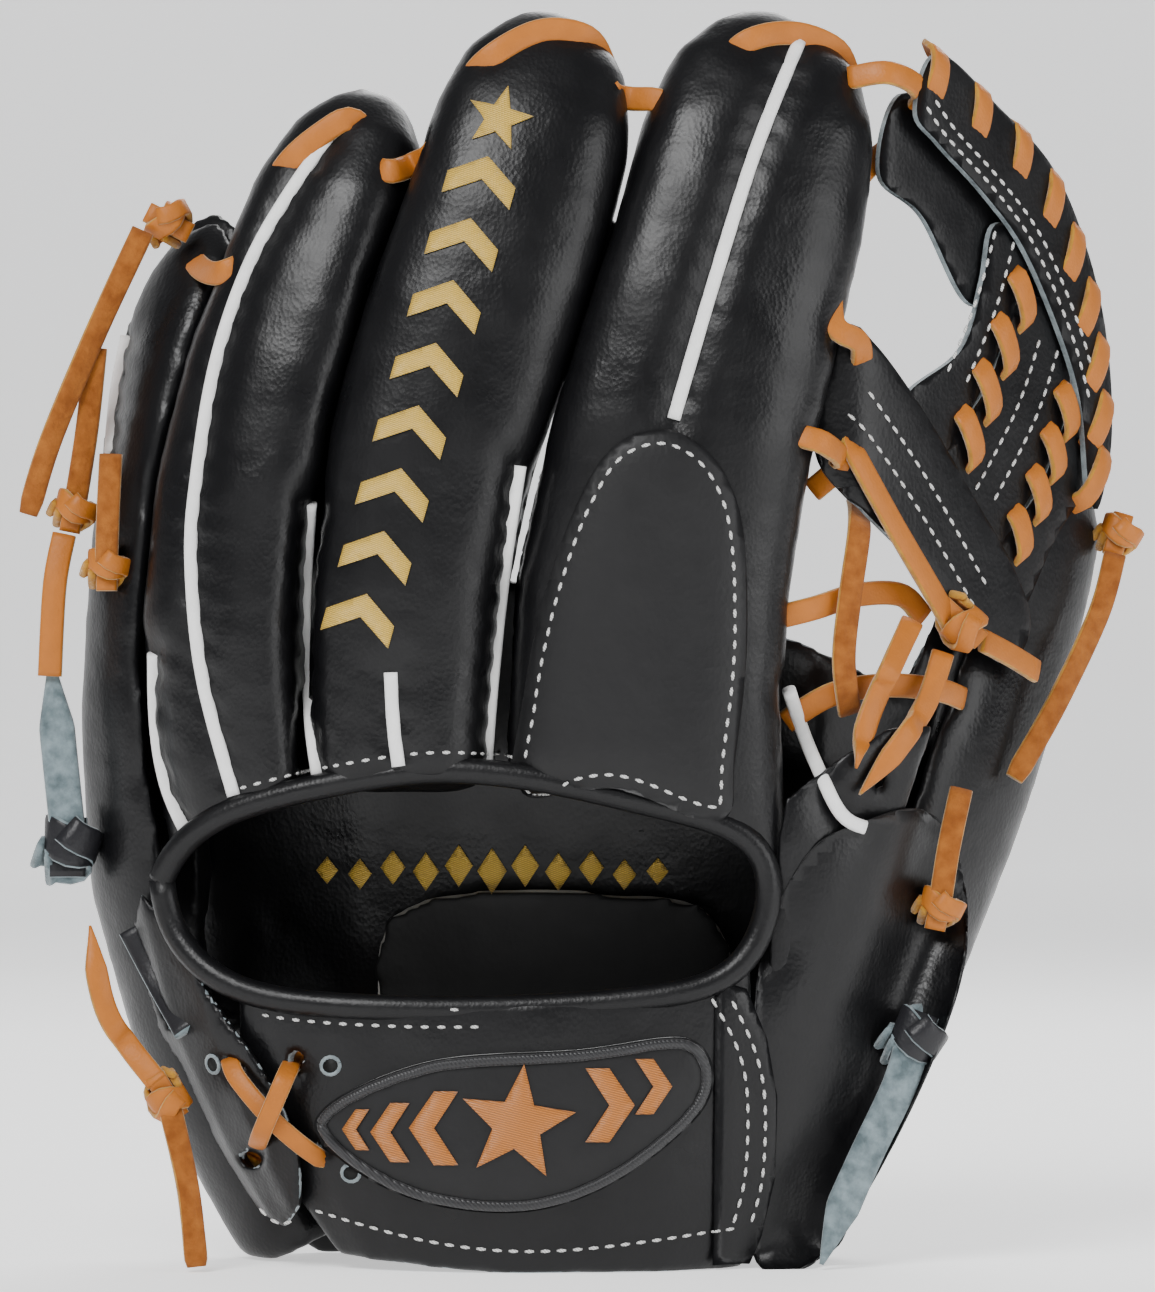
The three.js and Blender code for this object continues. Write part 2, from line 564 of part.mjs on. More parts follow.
place("heel_lace_little", (grow) =>
  ribbon(onBack([[-99, 74, -1.3], [-93, 63, -1.3], [-86, 52, -1.3]]), [5, 2], toBack, grow),
);
place("heel_knot_thumb", (grow) => knot([74, 22, 50], [6, 6, 9], grow));
place("heel_tail_thumb", (grow) =>
  ribbon([[71, 20, 40], [64, 16, 26], [58, 13, 14], [54, 12, 3.2]], HEEL_LACE, toBack, grow),
);

const onStrap = ([x, z, lift]) => [x, wristBack(x, z) - lift, z];
place("strap_lace", (grow) =>
  ribbon([
      [-76, 46, 2], [-74, 42, 6.4], [-66, 33, 6.8], [-58, 26, 5.4], [-55, 25, 1], [-56, 34, -6.4],
      [-59, 43, -6], [-61.5, 47, -1], [-63, 44, 6], [-66, 37, 10.4], [-69, 30, 10], [-71, 25, 6],
      [-72, 23, 2],
    ].map(onStrap), THROUGH, toBack, grow, 26),
);

// ---- fitting together ---------------------------------------------------------------------------------------
const order = Object.keys(rooms).sort((a, b) => /lace|knot|tail/.test(b) - /lace|knot|tail/.test(a));
rooms.thumb_stall = ground(thumbSide(stallSolid(STALLS.thumb, { grow: GAP }))).intersect(behindPalm);
order.push("thumb_stall");
const fitted = new Set();
for (const name of order) {
  fitted.add(name);
  for (const other of Object.keys(pieces)) {
    if (!fitted.has(other) && rooms[name].intersect(pieces[other]).volume() > 0) {
      pieces[other] = pieces[other].subtract(rooms[name]);
    }
  }
}

// ---- folding ------------------------------------------------------------------------------------------------
// The thumb side folds up to FOLD_RANGE degrees about its line. What it would run into on the way is cut off it.
const foldAxis = new THREE.Vector3(...FOLD_AXIS).normalize();
const onThumb = ["thumb_leather", "thumb_stall"];
const ofThumb = /^(thumb_(leather|stall|tip|side_knot)|heel_(knot|tail)_thumb)/;
const others = Object.keys(pieces).filter((name) => !ofThumb.test(name));
for (let angle = FOLD_STEP; angle <= FOLD_RANGE; angle += FOLD_STEP) {
  const turn = new THREE.Matrix4().makeRotationAxis(foldAxis, THREE.MathUtils.degToRad(-angle));
  const there = new THREE.Matrix4().makeTranslation(...FOLD_POINT);
  const back = new THREE.Matrix4().makeTranslation(...FOLD_POINT.map((p) => -p));
  const matrix = there.multiply(turn).multiply(back).elements;
  for (const other of others) {
    const swept = (rooms[other] ?? pieces[other]).transform(matrix);
    for (const name of onThumb) {
      pieces[name] = pieces[name].subtract(swept);
    }
  }
}

// The origin is in the middle of the heel's cut end, where the glove stands.
for (const name of Object.keys(pieces)) {
  pieces[name] = pieces[name].translate([0, -HEEL_DEPTH, 0]);
}

// ---- materials ----------------------------------------------------------------------------------------------
const FINISHES = [
  [/felt/, 0x8d8778, 0.95],
  [/lining/, 0x23211f, 0.7],
  [/^welt/, 0xe9e8e4, 0.6],
  [/patch/, 0xb8752e, 0.5],
  [/^heel/, 0x3a3f44, 0.8],
  [/lace|knot|tail/, 0xc98a3c, 0.7],
  [/./, 0x17171a, 0.42],
];

const group = new THREE.Group();
for (const [name, body] of Object.entries(pieces)) {
  const parts = body.decompose();
  const whole = parts.reduce((most, part) => (part.volume() > most.volume() ? part : most));
  const [, color, roughness] = FINISHES.find(([pattern]) => pattern.test(name));
  const mesh = named(name, whole);
  mesh.material = new THREE.MeshStandardMaterial({ color, roughness, metalness: 0 });
  group.add(mesh);
}
export default group;
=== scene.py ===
"""A baseball fielding glove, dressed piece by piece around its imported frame.

The back of the glove faces -Y, the pocket +Y, the fingers point up +Z and the thumb is on the +X side. Lengths in
the dataclasses are millimetres, and meshes are made in metres. Depths in the dataclasses are measured from a plane
behind the glove, BEHIND millimetres from the heel's middle, which is the origin.
"""

import json
import logging
import math
from dataclasses import dataclass, field
from enum import Enum
from typing import Callable, Iterable, Sequence

import bmesh
import bpy
from mathutils import Matrix, Vector, noise
from mathutils.bvhtree import BVHTree

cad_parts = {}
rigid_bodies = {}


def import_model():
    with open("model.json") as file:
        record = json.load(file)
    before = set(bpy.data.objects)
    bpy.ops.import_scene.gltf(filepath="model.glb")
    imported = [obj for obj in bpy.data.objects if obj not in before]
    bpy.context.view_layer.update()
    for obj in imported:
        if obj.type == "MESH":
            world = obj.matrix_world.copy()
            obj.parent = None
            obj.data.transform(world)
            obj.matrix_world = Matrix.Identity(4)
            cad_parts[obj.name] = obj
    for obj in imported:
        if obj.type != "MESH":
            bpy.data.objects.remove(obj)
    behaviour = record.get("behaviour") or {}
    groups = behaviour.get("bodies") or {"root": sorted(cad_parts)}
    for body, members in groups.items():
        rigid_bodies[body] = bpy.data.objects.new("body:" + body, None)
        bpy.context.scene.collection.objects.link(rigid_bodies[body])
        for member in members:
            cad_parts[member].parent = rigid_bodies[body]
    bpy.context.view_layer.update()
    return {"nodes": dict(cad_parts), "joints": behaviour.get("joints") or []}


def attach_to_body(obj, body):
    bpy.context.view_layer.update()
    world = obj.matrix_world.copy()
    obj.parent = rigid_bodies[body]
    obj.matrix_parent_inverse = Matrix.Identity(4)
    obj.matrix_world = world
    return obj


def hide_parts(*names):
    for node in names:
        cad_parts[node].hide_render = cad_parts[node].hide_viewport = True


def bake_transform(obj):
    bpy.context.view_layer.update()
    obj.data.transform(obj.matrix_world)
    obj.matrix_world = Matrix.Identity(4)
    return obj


LOG = logging.getLogger("glove")
MM = 0.001
BEHIND = 58.58
LACE_STEP = 1.6
HEEL_LACE_WIDTH = 8.0
LOOSE_LACE_WIDTH = 5.2
Pair = tuple[float, float]
Triple = tuple[float, float, float]
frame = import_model()


class Part(Enum):
    """Which side of the fold a piece moves with."""

    HAND = "hand"
    THUMB = "thumb"
    FOLD = "fold"


class Face(Enum):
    """Which side of a lace looks outwards."""

    GRAIN = "grain"
    SUEDE = "suede"


# ---- finishes ---------------------------------------------------------------------------------------------------


@dataclass(frozen=True)
class Finish:
    """What every finish has.

    Attributes:
        name: The material's name.
        colour: Its base colour, as linear red, green and blue.
    """

    name: str
    colour: Triple

    def start(self, roughness: float) -> tuple[bpy.types.Material, bpy.types.Node]:
        """A new material and its shader.

        Args:
            roughness: The shader's roughness where nothing is linked to it.
        Returns:
            The material and its Principled shader node.
        """
        material = bpy.data.materials.new(self.name)
        material.use_nodes = True
        shader = material.node_tree.nodes["Principled BSDF"]
        shader.inputs["Base Color"].default_value = (*self.colour, 1)
        shader.inputs["Roughness"].default_value = roughness
        return material, shader

    @staticmethod
    def mapped(material: bpy.types.Material, scale: Triple) -> bpy.types.NodeSocket:
        """Stretched object coordinates.

        Args:
            material: The material that they are added to.
            scale: How much each axis is stretched.
        Returns:
            The coordinates' socket.
        """
        tree = material.node_tree
        place = tree.nodes.new("ShaderNodeTexCoord")
        mapping = tree.nodes.new("ShaderNodeMapping")
        mapping.inputs["Scale"].default_value = scale
        tree.links.new(place.outputs["Object"], mapping.inputs["Vector"])
        return mapping.outputs["Vector"]

    @staticmethod
    def noise(material: bpy.types.Material, scale: float, detail: float = 3.0) -> bpy.types.NodeSocket:
        """A cloudy pattern.

        Args:
            material: The material that it is added to.
            scale: Its cells to the metre.
            detail: How many finer layers it has.
        Returns:
            The pattern's socket.
        """
        tree = material.node_tree
        pattern = tree.nodes.new("ShaderNodeTexNoise")
        pattern.inputs["Scale"].default_value = scale
        pattern.inputs["Detail"].default_value = detail
        tree.links.new(Finish.mapped(material, (1, 1, 1)), pattern.inputs["Vector"])
        return pattern.outputs["Fac"]

    @staticmethod
    def ramp(
        material: bpy.types.Material, source: bpy.types.NodeSocket, low: float, high: float
    ) -> bpy.types.NodeSocket:
        """A pattern with its middle stretched.

        Args:
            material: The material that it is added to.
            source: The pattern.
            low: The value where the pattern is low.
            high: The value where it is high.
        Returns:
            The new value's socket.
        """
        tree = material.node_tree
        spread = tree.nodes.new("ShaderNodeMapRange")
        spread.inputs["From Min"].default_value = 0.32
        spread.inputs["From Max"].default_value = 0.68
        spread.inputs["To Min"].default_value = low
        spread.inputs["To Max"].default_value = high
        tree.links.new(source, spread.inputs["Value"])
        return spread.outputs["Result"]

    @staticmethod
    def blend(
        material: bpy.types.Material, share: bpy.types.NodeSocket, first: Triple, second: Triple
    ) -> bpy.types.NodeSocket:
        """A colour that changes with a pattern.

        Args:
            material: The material that it is added to.
            share: The pattern, 0 to 1.
            first: The colour where it is 0.
            second: The colour where it is 1.
        Returns:
            The colour's socket.
        """
        tree = material.node_tree
        mix = tree.nodes.new("ShaderNodeMix")
        mix.data_type = "RGBA"
        mix.inputs["A"].default_value = (*first, 1)
        mix.inputs["B"].default_value = (*second, 1)
        tree.links.new(share, mix.inputs["Factor"])
        return mix.outputs["Result"]

    @staticmethod
    def bump(
        material: bpy.types.Material,
        height: bpy.types.NodeSocket,
        strength: float,
        depth: float,
        under: bpy.types.NodeSocket | None = None,
    ) -> bpy.types.NodeSocket:
        """Small relief.

        Args:
            material: The material that it is added to.
            height: The pattern that raises it.
            strength: How strong it is, 0 to 1.
            depth: Its height, in metres.
            under: The relief that it lies on.
        Returns:
            The normal's socket.
        """
        tree = material.node_tree
        bump = tree.nodes.new("ShaderNodeBump")
        bump.inputs["Strength"].default_value = strength
        bump.inputs["Distance"].default_value = depth
        tree.links.new(height, bump.inputs["Height"])
        if under is not None:
            tree.links.new(under, bump.inputs["Normal"])
        return bump.outputs["Normal"]


@dataclass(frozen=True)
class Leather(Finish):
    """Grained leather: fine pebbles, soft creases, a gloss that comes and goes, and painted shade in the fine
    creases, whose hollows are coloured darker than their raised parts.

    Attributes:
        gloss: Its roughness where it is glossy and where it is dull.
        pebble: The pebbles to the metre.
        crease: How strong its creases are.
    """

    gloss: Pair = (0.32, 0.5)
    pebble: float = 1150.0
    crease: float = 0.22

    def make(self) -> bpy.types.Material:
        """The finished material."""
        material, shader = self.start(0.4)
        tree = material.node_tree
        pebbles = tree.nodes.new("ShaderNodeTexVoronoi")
        pebbles.inputs["Scale"].default_value = self.pebble
        tree.links.new(self.mapped(material, (1, 1, 0.8)), pebbles.inputs["Vector"])
        soft = self.noise(material, 55.0, 4.0)
        fine = self.noise(material, 260.0, 5.0)
        bent = self.bump(material, soft, self.crease, 0.0012)
        creased = self.bump(material, fine, 0.5, 0.00022, bent)
        grained = self.bump(material, pebbles.outputs["Distance"], 0.35, 0.00012, creased)
        tree.links.new(grained, shader.inputs["Normal"])
        tree.links.new(self.ramp(material, soft, *self.gloss), shader.inputs["Roughness"])
        shader.inputs["Specular IOR Level"].default_value = 0.3
        # Painted shade: the same fine pattern that raises the creases makes the colour lighter on their raised parts
        # and darker in their hollows.
        lit_ridge_colour = tuple(min(1.0, c * 1.3 + 0.002) for c in self.colour)
        tree.links.new(self.blend(material, fine, self.colour, lit_ridge_colour), shader.inputs["Base Color"])
        return material


@dataclass(frozen=True)
class Suede(Finish):
    """A raw fuzzy face or cut edge of leather.

    Attributes:
        second: The colour of its paler patches.
        fuzz: Its tufts to the metre.
        bloom: How much light its nap catches.
    """

    second: Triple = (0.5, 0.5, 0.5)
    fuzz: float = 900.0
    bloom: float = 0.35

    def make(self) -> bpy.types.Material:
        """The finished material."""
        material, shader = self.start(0.95)
        tree = material.node_tree
        tufts = self.noise(material, self.fuzz, 6.0)
        patches = self.ramp(material, self.noise(material, self.fuzz / 3, 4.0), 0, 1)
        tree.links.new(self.bump(material, tufts, 0.9, 0.0004), shader.inputs["Normal"])
        tree.links.new(self.blend(material, patches, self.colour, self.second), shader.inputs["Base Color"])
        shader.inputs["Sheen Weight"].default_value = self.bloom
        shader.inputs["Sheen Roughness"].default_value = 0.6
        shader.inputs["Specular IOR Level"].default_value = 0.15
        return material


@dataclass(frozen=True)
class Thread(Finish):
    """Twisted sewing thread, or satin stitch where strands lie side by side. Its colour is painted darker in the
    grooves between the strands: painted shade.

    Attributes:
        strand: The width of a strand, in millimetres.
        slant: The way across the strands.
        sheen: How silky it is.
    """

    strand: float = 0.45
    slant: Triple = (1.0, 0.0, 0.0)
    sheen: float = 0.5

    def make(self) -> bpy.types.Material:
        """The finished material."""
        material, shader = self.start(0.42)
        tree = material.node_tree
        strands = tree.nodes.new("ShaderNodeTexWave")
        strands.bands_direction = "X"
        strands.inputs["Scale"].default_value = 2 * math.pi / (20 * self.strand * MM)
        strands.inputs["Distortion"].default_value = 0.6
        strands.inputs["Detail"].default_value = 1.0
        turn = tree.nodes.new("ShaderNodeMapping")
        turn.inputs["Rotation"].default_value = (0, math.atan2(self.slant[2], self.slant[0]), 0)
        place = tree.nodes.new("ShaderNodeTexCoord")
        tree.links.new(place.outputs["Object"], turn.inputs["Vector"])
        tree.links.new(turn.outputs["Vector"], strands.inputs["Vector"])
        # Painted shade: the colour goes darker where the strands' bump is low, in the grooves between them.
        groove_shade = tuple(c * 0.45 for c in self.colour)
        tone = self.blend(material, strands.outputs["Fac"], groove_shade, self.colour)
        tree.links.new(tone, shader.inputs["Base Color"])
        tree.links.new(self.bump(material, strands.outputs["Fac"], 0.6, 0.00015), shader.inputs["Normal"])
        shader.inputs["Sheen Weight"].default_value = self.sheen
        return material


SHELL = Leather("shell_leather", (0.0025, 0.0025, 0.003), (0.27, 0.42)).make()
ROLLED = Leather("binding_leather", (0.0035, 0.0035, 0.004), (0.3, 0.42), 1500.0, 0.15).make()
LINER = Leather("lining_leather", (0.003, 0.003, 0.003), (0.55, 0.75), 900.0, 0.5).make()
PATCH_LEATHER = Leather("pad_leather", (0.006, 0.006, 0.0065), (0.4, 0.52), 900.0, 0.1).make()
EDGE = Suede("cut_edge", (0.09, 0.115, 0.125), (0.26, 0.31, 0.33)).make()
PALE_EDGE = Suede("pale_cut_edge", (0.35, 0.36, 0.36), (0.6, 0.6, 0.58)).make()
WELTING = Leather("welt_leather", (0.72, 0.72, 0.71), (0.5, 0.65), 1300.0, 0.1).make()
FELTED = Suede("felt", (0.22, 0.21, 0.18), (0.36, 0.34, 0.3), 500.0).make()
TAN = Leather("lace_grain", (0.36, 0.112, 0.012), (0.42, 0.6), 1800.0, 0.2).make()
OCHRE = Suede("lace_edge", (0.3, 0.12, 0.004), (0.46, 0.22, 0.01)).make()
RUST = Suede("lace_suede", (0.21, 0.06, 0.008), (0.33, 0.11, 0.018), bloom=0.08).make()
BLACK_GRAIN = Leather("heel_lace_grain", (0.012, 0.012, 0.014), (0.32, 0.45), 1500.0, 0.2).make()
GREY_SUEDE = Suede("heel_lace_suede", (0.07, 0.1, 0.11), (0.2, 0.26, 0.28)).make()
STITCH = Thread("white_thread", (0.78, 0.78, 0.76), 0.5, (1, 0, 1), 0.3).make()
DARK_CORD = Thread("dark_cord", (0.012, 0.012, 0.014), 0.7, (1, 0, 1), 0.2).make()
GOLD = Thread("gold_satin", (0.68, 0.43, 0.055), 0.42, (0.35, 0, 1), 0.15).make()
COPPER = Thread("copper_satin", (0.52, 0.17, 0.02), 0.5, (0.25, 0, 1), 0.15).make()
LACE_FINISHES = [TAN, OCHRE, RUST]
HEEL_FINISHES = [BLACK_GRAIN, GREY_SUEDE, GREY_SUEDE]


# ---- places -----------------------------------------------------------------------------------------------------


@dataclass(frozen=True)
class Fold:
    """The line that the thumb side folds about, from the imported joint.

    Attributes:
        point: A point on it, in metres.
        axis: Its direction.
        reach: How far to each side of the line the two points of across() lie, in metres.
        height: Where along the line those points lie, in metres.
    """

    point: Vector
    axis: Vector
    reach: float = 0.018
    height: float = 0.09

    @classmethod
    def packed(cls) -> "Fold":
        """The fold as the frame's joint states it."""
        joint = frame["joints"][0]
        return cls(Vector(joint["pos_m"]), Vector(joint["axis"]).normalized())

    def across(self) -> tuple[Vector, Vector]:
        """Two points across the line, the first on the hand side and the second on the thumb side."""
        side = Vector((self.axis.z, 0, -self.axis.x)).normalized()
        middle = self.point + self.axis * self.height
        return middle - side * self.reach, middle + side * self.reach


FOLD = Fold.packed()


def metres(points: Iterable[Sequence[float]]) -> list[Vector]:
    """Points of x, depth and z in millimetres as vectors in metres."""
    return [Vector((x, y - BEHIND, z)) * MM for x, y, z in points]


def curve_through(points: Sequence[Vector], step: float, closed: bool = False) -> list[Vector]:
    """Points about step apart on a smooth curve through points.

    Args:
        points: The points that the curve passes, in metres.
        step: The distance between the new points, in metres.
        closed: Whether the curve returns to its first point.
    Returns:
        The new points, the last one at the curve's end.
    """
    count = len(points)
    dense: list[Vector] = []
    for i in range(count if closed else count - 1):
        a, b, c, d = (
            points[(i + k) % count] if closed else points[min(max(i + k, 0), count - 1)] for k in (-1, 0, 1, 2)
        )
        for t in (k / 12 for k in range(12)):
            first, second = (c - a) * 0.5, (d - b) * 0.5
            dense.append(
                b * (2 * t**3 - 3 * t**2 + 1)
                + first * (t**3 - 2 * t**2 + t)
                + c * (3 * t**2 - 2 * t**3)
                + second * (t**3 - t**2)
            )
    dense.append(points[0].copy() if closed else points[-1].copy())
    lengths = [0.0]
    for a, b in zip(dense, dense[1:]):
        lengths.append(lengths[-1] + (b - a).length)
    pieces = max(2, round(lengths[-1] / step))
    spaced, i = [], 0
    for k in range(pieces + 1):
        at = lengths[-1] * k / pieces
        while i < len(dense) - 2 and lengths[i + 1] < at:
            i += 1
        share = (at - lengths[i]) / max(lengths[i + 1] - lengths[i], 1e-9)
        spaced.append(dense[i].lerp(dense[i + 1], min(max(share, 0), 1)))
    return spaced


def web_depth(x: float) -> float:
    """Depth of the web's middle at x, both in millimetres: it sweeps from the index finger to the thumb."""
    return 20 + 52 * min(max((x - 60) / 58, 0), 1.2) ** 1.2


class Skin:
    """The finished outer surfaces, to lay trim on."""

    def __init__(self, pieces: Sequence[bpy.types.Object]) -> None:
        """Gather the pieces' faces.

        Args:
            pieces: The finished leather pieces.
        """
        self.names = [piece.name for piece in pieces]
        depsgraph = bpy.context.evaluated_depsgraph_get()
        points: list[Vector] = []
        faces: list[tuple[int, ...]] = []
        for piece in pieces:
            mesh = piece.evaluated_get(depsgraph).to_mesh()
            faces += [tuple(len(points) + i for i in p.vertices) for p in mesh.polygons]
            points += [v.co.copy() for v in mesh.vertices]
        self.tree = BVHTree.FromPolygons(points, faces)

    def at(self, x: float, z: float, side: int = -1) -> tuple[Vector, Vector]:
        """The surface under a point.

        Args:
            x: The point's x, in metres.
            z: The point's z, in metres.
            side: -1 to look from the back, 1 to look from the pocket.
        Returns:
            The point on the surface and its outward normal.
        """
        hit, normal, _, _ = self.tree.ray_cast(Vector((x, side * 0.3, z)), Vector((0, -side, 0)))
        if hit is None:
            hit, normal, _, _ = self.tree.find_nearest(Vector((x, (side - 1) * 0.03, z)))
        return hit, normal if normal.y * side > 0 else -normal

    def bridged(self, reach: float = 5.0) -> Callable[[float, float], tuple[Vector, Vector]]:
        """A smooth surface over the back that spans its hollows.

        Args:
            reach: How far round each point it looks, in millimetres.
        Returns:
            A function that gives the point and outward normal under x and z, in metres.
        """
        rings = [(0.0, 0.0)]
        for radius in (1.0, 2.0, 3.0):
            rings += [
                (radius * reach * math.cos(a), radius * reach * math.sin(a))
                for a in (math.pi * k / 4 for k in range(8))
            ]

        def depth(x: float, z: float) -> float:
            """The smooth surface's y under (x, z)."""
            hits = sorted(self.at(x + dx * MM, max(z + dz * MM, 0.003))[0].y for dx, dz in rings)
            near = sum(hits[:14]) / 14
            return min(near, self.at(x, z)[0].y - 0.2 * MM)

        def surface(x: float, z: float) -> tuple[Vector, Vector]:
            """The point and normal under (x, z)."""
            y, step = depth(x, z), 3 * MM
            slope_x = (depth(x + step, z) - depth(x - step, z)) / (2 * step)
            slope_z = (depth(x, z + step) - depth(x, z - step)) / (2 * step)
            return Vector((x, y, z)), Vector((slope_x, -1, slope_z)).normalized()

        return surface

    def laid(self, points: Sequence[Sequence[float]], lift: float = 0.0, step: float = 2.0) -> list[Vector]:
        """A smooth line on the back.

        Args:
            points: Its x and z and, where wanted, its own lift off the leather, in millimetres.
            lift: How far the whole line lies off the leather, in millimetres.
            step: The distance between the new points, in millimetres.
        Returns:
            The line's points, in metres.
        """
        route = curve_through([Vector((p[0], p[2] if len(p) > 2 else 0.0, p[1])) * MM for p in points], step * MM)
        line = []
        for p in route:
            hit, _ = self.at(p.x, p.z)
            line.append(Vector((p.x, hit.y - p.y - lift * MM, p.z)))
        return line


# ---- making meshes ----------------------------------------------------------------------------------------------


def finished(
    name: str,
    bm: bmesh.types.BMesh,
    finishes: Sequence[bpy.types.Material],
    part: Part,
    nodes: Sequence[str] = (),
) -> bpy.types.Object:
    """Turn a bmesh into a shown piece.

    Args:
        name: The piece's name.
        bm: Its shape, in metres. It is freed.
        finishes: Its materials, in the order of its faces' material numbers.
        part: What it moves with.
        nodes: The CAD nodes that it stands for.
    Returns:
        The piece.
    """
    name = name + "_dressed" if name in frame["nodes"] else name
    mesh = bpy.data.meshes.new(name)
    for vert in bm.verts:
        vert.co.z = max(vert.co.z, 0)
    bm.normal_update()
    for face in bm.faces:
        face.smooth = True
    bm.to_mesh(mesh)
    bm.free()
    for finish in finishes:
        mesh.materials.append(finish)
    piece = bpy.data.objects.new(name, mesh)
    bpy.context.scene.collection.objects.link(piece)
    if part is Part.FOLD:
        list(FOLD.across())
        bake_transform(piece)
    else:
        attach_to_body(piece, part.value)
    if nodes:
        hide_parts(*nodes)
    LOG.info("%s: %d faces", name, len(mesh.polygons))
    return piece


def frames_along(line: Sequence[Vector], facing: Callable[[int], Vector]) -> list[Matrix]:
    """A frame at each point of a line: X across it, Y out of its flat face and Z along it.

    Args:
        line: The points.
        facing: Gives the way the flat face looks at a point's number.
    Returns:
        One matrix for each point.
    """
    frames = []
    for i, point in enumerate(line):
        along = (line[min(i + 1, len(line) - 1)] - line[max(i - 1, 0)]).normalized()
        out = facing(i)
        out = (out - along * out.dot(along)).normalized()
        across = out.cross(along)
        turn = Matrix((across, out, along)).transposed().to_4x4()
        frames.append(Matrix.Translation(point) @ turn)
    return frames


def sweep(
    bm: bmesh.types.BMesh,
    frames: Sequence[Matrix],
    size: Callable[[float], Pair],
    corners: float = 0.5,
    segments: int = 12,
    suede_out: bool = False,
) -> None:
    """Draw a rounded section along frames, with closed ends.

    Args:
        bm: Where the strip is made.
        frames: The section's place at each step.
        size: Gives the width and thickness, in metres, at a share of the length.
        corners: The power that squares the section: 1 is round and less is squarer.
        segments: The number of sides.
        suede_out: Whether the rough side looks outwards.
    """
    ring = bmesh.ops.create_circle(bm, cap_ends=False, segments=segments, radius=1.0)["verts"]
    ring = sorted(ring, key=lambda v: math.atan2(v.co.y, v.co.x))
    shape = [v.co.copy() for v in ring]

    def place(verts: Sequence[bmesh.types.BMVert], k: int) -> None:
        """Put one ring of the strip in its place."""
        width, thick = size(k / max(len(frames) - 1, 1))
        for vert, flat in zip(verts, shape):
            x = math.copysign(abs(flat.x) ** corners, flat.x) * width / 2
            y = math.copysign(abs(flat.y) ** corners, flat.y) * thick / 2
            vert.co = frames[k] @ Vector((x, y, 0))

    place(ring, 0)
    order = list(ring)
    first = list(ring)
    for k in range(1, len(frames)):
        edges = [bm.edges.get((order[i], order[(i + 1) % segments])) for i in range(segments)]
        made = bmesh.ops.extrude_edge_only(bm, edges=edges)["geom"]
        fresh = [g for g in made if isinstance(g, bmesh.types.BMVert)]
        following = [next(e.other_vert(v) for e in v.link_edges if e.other_vert(v) in fresh) for v in order]
        place(following, k)
        for i in range(segments):
            face = bm.faces.get((order[i], order[(i + 1) % segments], following[(i + 1) % segments], following[i]))
            height = (shape[i].y + shape[(i + 1) % segments].y) / 2
            side = 1 if abs(height) < 0.45 else 0 if (height > 0) != suede_out else 2
            face.material_index = side
        order = following
    for end in (first, order):
        cap = bm.faces.new(end)
        cap.material_index = 1
    bmesh.ops.recalc_face_normals(bm, faces=bm.faces)


def strip(
    bm: bmesh.types.BMesh,
    line: Sequence[Vector],
    facing: Callable[[int], Vector] | Vector,
    width: float,
    thick: float,
    corners: float = 0.5,
    taper: float = 0.0,
    suede_out: bool = False,
    segments: int = 12,
) -> None:
    """Draw a flat strip along a line. Its sizes are in millimetres.

    Args:
        bm: Where the strip is made.
        line: Its middle line, in metres.
        facing: The way its flat face looks, or a function that gives it for a point's number.
        width: Its width.
        thick: Its thickness.
        corners: The power that squares its section.
        taper: The share of its length over which it narrows. A short one leaves a nearly square end.
        suede_out: Whether the rough side looks outwards.
        segments: The number of sides of its section.
    """
    look = facing if callable(facing) else lambda i: facing

    def size(share: float) -> Pair:
        """The width and thickness at a share of the length."""
        blunt = 0.12 if taper > 0.1 else 0.8
        left = 1.0 if taper <= 0 else min(1.0, blunt + (1 - blunt) * (1 - share) / taper)
        return width * left * MM, thick * MM

    sweep(bm, frames_along(line, look), size, corners, segments, suede_out)


def knot(
    bm: bmesh.types.BMesh,
    centre: Vector,
    axis: Vector,
    width: float,
    thick: float,
    radius: float,
    turns: float = 1.4,
) -> None:
    """Wrap a lace round itself.

    Args:
        bm: Where the band is made.
        centre: The knot's middle, in metres.
        axis: The way that the lace runs through it.
        width: The lace's width, in millimetres.
        thick: The lace's thickness, in millimetres.
        radius: How far out the band lies, in millimetres.
        turns: How many times it goes round.
    """
    axis = axis.normalized()
    side = axis.cross(Vector((0, 1, 0)))
    side = (side if side.length > 0.1 else axis.cross(Vector((1, 0, 0)))).normalized()
    up = side.cross(axis)
    count = int(16 * turns)

    def spoke(i: int) -> Vector:
        """The way out from the axis at step i."""
        a = 2 * math.pi * turns * i / count
        return side * math.cos(a) * 1.2 + up * math.sin(a)

    line = [
        centre + spoke(i) * radius * MM + axis * (width * 0.55 * (2 * i / count - 1) + 0.8 * math.sin(i)) * MM
        for i in range(count + 1)
    ]
    strip(bm, line, spoke, width, thick)


